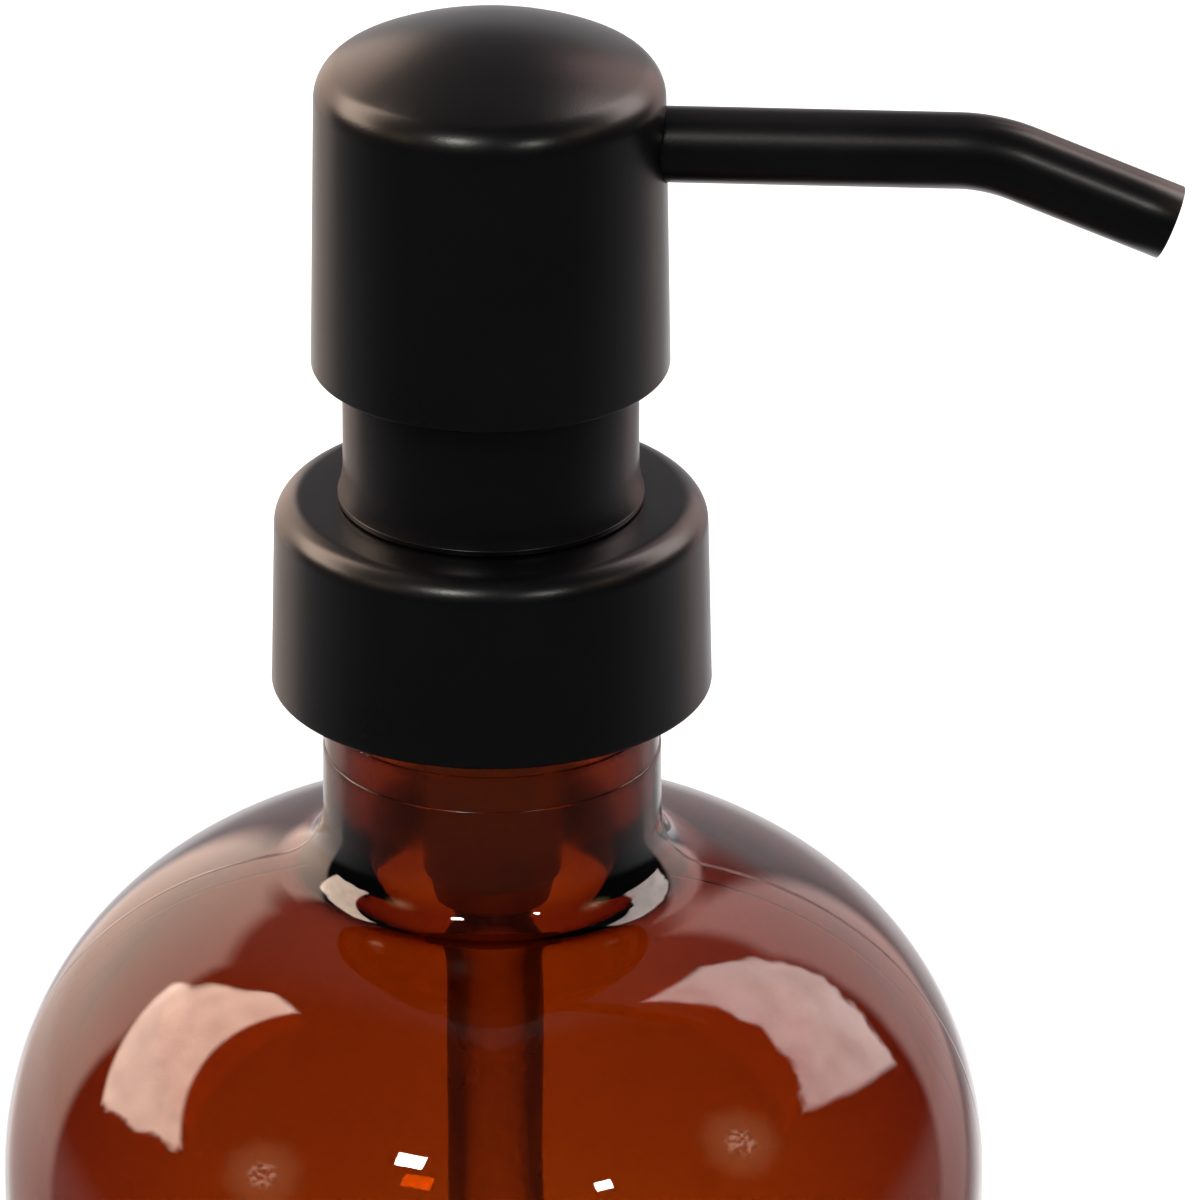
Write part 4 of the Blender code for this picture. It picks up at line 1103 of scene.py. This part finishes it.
# %% [markdown]
# The windows and the pale walls of the room are far away, so they go into the world, as polygons
# of light drawn by azimuth and elevation. Nodes work out how far inside each edge a direction
# lies, the least of those decides, and a smooth step over a few degrees gives a soft edge.
# Nothing here depends on the camera.

# %% Building blocks for the room
def smooth_step(tree, value, start, end, low=0.0, high=1.0):
    return spread(tree, value, low, high, start, end, "SMOOTHSTEP")


def room_directions(tree):
    """Azimuth, azimuth without its sign, and elevation of each direction, in degrees."""
    place = tree.nodes.new("ShaderNodeTexCoord")
    axes = tree.nodes.new("ShaderNodeSeparateXYZ")
    tree.links.new(place.outputs["Generated"], axes.inputs["Vector"])
    front = math_node(tree, "MULTIPLY", axes.outputs["Y"], -1.0)
    azimuth = math_node(tree, "DEGREES", math_node(tree, "ARCTAN2", axes.outputs["X"], front))
    elevation = math_node(tree, "DEGREES", math_node(tree, "ARCSINE", axes.outputs["Z"]))
    return azimuth, math_node(tree, "ABSOLUTE", azimuth), elevation


def patch(tree, azimuth, elevation, corners, soft):
    """How much a direction lies inside a convex polygon, from 0 to 1."""
    middle = [sum(corner[k] for corner in corners) / len(corners) for k in (0, 1)]
    least = None
    for (x1, y1), (x2, y2) in zip(corners, corners[1:] + corners[:1]):
        length = math.hypot(x2 - x1, y2 - y1)
        across, up = -(y2 - y1) / length, (x2 - x1) / length
        side = across * (middle[0] - x1) + up * (middle[1] - y1)
        if side < 0:
            across, up = -across, -up
        offset = -(across * x1 + up * y1)
        inside = math_node(tree, "MULTIPLY_ADD", azimuth, across, offset)
        inside = math_node(tree, "MULTIPLY_ADD", elevation, up, inside)
        least = inside if least is None else math_node(tree, "MINIMUM", least, inside)
    return smooth_step(tree, least, -soft, soft)


def add_light(tree, total, amount, colour):
    """Add a coloured amount of light to the total, which starts as a plain colour."""
    node = tree.nodes.new("ShaderNodeVectorMath")
    node.operation = "MULTIPLY_ADD"
    tree.links.new(amount, node.inputs[0])
    node.inputs[1].default_value = colour
    if isinstance(total, tuple):
        node.inputs[2].default_value = total
    else:
        tree.links.new(total, node.inputs[2])
    return node.outputs[0]


def world_noise(tree, scale):
    """A slow cloud over the directions of the room."""
    return noise(tree, scale, 2.0, space="Generated")


def round_about(middle, radius, corners=8):
    """The corners of a regular polygon about a direction."""
    turns = [math.tau * k / corners for k in range(corners)]
    return [(middle[0] + radius * math.cos(turn), middle[1] + radius * math.sin(turn))
            for turn in turns]


# %% [markdown]
# The left window is warm and the right one cooler and dimmer. The walls stand behind on both
# sides, with a paler gap between them, and the floor is bright behind and dark in front. Two lamp
# dishes give the shoulder two faint round glows with a brighter, broken core.
#
# A band of light is a row of numbers: two elevations and two angles from the front, between which
# it fades in, its amounts at those two angles, and its colour.

# %% The room
ROOM_DARK = (0.03, 0.03, 0.036)
BANDS = [
    ((-2, -12), (60, 135), (0.05, 0.32), (1.0, 0.97, 0.97)),     # floor
    ((-18, -23), (145, 162), (0.0, 0.35), (1.0, 1.0, 1.0)),      # floor straight behind
    ((5, 40), (120, 150), (0.0, 0.13), (1.0, 0.95, 0.98)),       # wall high up behind
    ((26, 14), (150, 168), (0.0, 0.55), (1.0, 0.98, 1.0)),       # gap straight behind
]
LEFT_WALL = [(-119, -30), (-120, 18), (-128, 33), (-137, 39), (-157, 34), (-166, 24), (-159, -30)]
RIGHT_WALL = [(128, -30), (134, 10), (138, 22), (146, 36), (165, 42), (174, 22), (158, -5),
              (152, -30)]
WALLS = [(LEFT_WALL, (2.4, 1.75, 1.4)), (RIGHT_WALL, (1.8, 1.2, 1.1))]
WALL_SOFT = 2.5
WALL_DIMS = (-26, 10, 0.2, 1.0)          # low and high elevation, and the share of light at each
LAMP_DISHES = [(-59, 28), (76, 33)]
DISH_PARTS = [(10.0, 4.0, (0.95, 0.66, 0.3)), (4.0, 1.5, (3.6, 2.7, 2.1))]
LEFT_WINDOW = [(-129, 29), (-128, 50), (-120, 56.5), (-82, 20), (-97, 14), (-110, 9)]
RIGHT_WINDOW = [(140, 62), (149, 48), (143, 34), (127, 9), (97, 27), (123, 48)]
WINDOWS = [(LEFT_WINDOW, (10.0, 7.6, 6.0)), (RIGHT_WINDOW, (5.8, 4.9, 4.6))]
WINDOW_SOFT = 1.2
WINDOW_CLOUD = 9.0
WINDOW_UNEVEN = (0.8, 1.1)
WINDOW_RAGGED = (-1.0, 1.0)              # degrees that an edge wanders


def make_room():
    world = bpy.data.worlds.new("studio_room")
    world.use_nodes = True
    tree = world.node_tree
    azimuth, aside, elevation = room_directions(tree)
    light = ROOM_DARK
    for heights, sides, amounts, colour in BANDS:
        band = math_node(tree, "MULTIPLY", smooth_step(tree, elevation, *heights),
                         smooth_step(tree, aside, *sides, *amounts))
        light = add_light(tree, light, band, colour)
    height = smooth_step(tree, elevation, *WALL_DIMS)
    for corners, colour in WALLS:
        wall = patch(tree, azimuth, elevation, corners, WALL_SOFT)
        light = add_light(tree, light, math_node(tree, "MULTIPLY", wall, height), colour)
    broken = spread(tree, world_noise(tree, 42.0), 0.0, 1.0, 0.42, 0.6)
    for middle in LAMP_DISHES:
        for (radius, soft, colour), pattern in zip(DISH_PARTS, (1.0, broken)):
            dish = patch(tree, azimuth, elevation, round_about(middle, radius), soft)
            light = add_light(tree, light, math_node(tree, "MULTIPLY", dish, pattern), colour)
    uneven = spread(tree, world_noise(tree, WINDOW_CLOUD), *WINDOW_UNEVEN)
    ragged = spread(tree, world_noise(tree, WINDOW_CLOUD), *WINDOW_RAGGED)
    azimuth = math_node(tree, "ADD", azimuth, ragged)
    elevation = math_node(tree, "SUBTRACT", elevation, ragged)
    for corners, colour in WINDOWS:
        window = patch(tree, azimuth, elevation, corners, WINDOW_SOFT)
        light = add_light(tree, light, math_node(tree, "MULTIPLY", window, uneven), colour)
    tree.links.new(light, tree.nodes["Background"].inputs["Color"])
    bpy.context.scene.world = world
    print("room:", len(tree.nodes), "nodes")


make_room()
bpy.context.scene.view_settings.view_transform = "Standard"

# %% [markdown]
# ## The camera
#
# A long lens, a metre away and about 25 degrees up, keeps the bottle's sides nearly parallel. It
# looks a little to the spout's side, so that the spout has room.

# %% Camera
CAMERA_AZIMUTH = 3.8
CAMERA_ELEVATION = 24.75
CAMERA_DISTANCE = 1.0
CAMERA_REACH = (0.05, 30)            # nearest and furthest distance that it sees
LENS = 399.2
LOOK_Z = 166.4 * MM
LOOK_ASIDE = 8.15 * MM


def make_camera():
    data = bpy.data.cameras.new("camera")
    data.lens = LENS
    data.sensor_width = 36
    data.clip_start, data.clip_end = CAMERA_REACH
    camera = bpy.data.objects.new("camera", data)
    right = direction(CAMERA_AZIMUTH + 90, 0)
    pump = Vector((0, 0, LOOK_Z))
    camera.location = pump + direction(CAMERA_AZIMUTH, CAMERA_ELEVATION) * CAMERA_DISTANCE
    towards = pump + right * LOOK_ASIDE - camera.location
    camera.rotation_euler = towards.to_track_quat("-Z", "Y").to_euler()
    bpy.context.scene.collection.objects.link(camera)
    bpy.context.scene.camera = camera


make_camera()
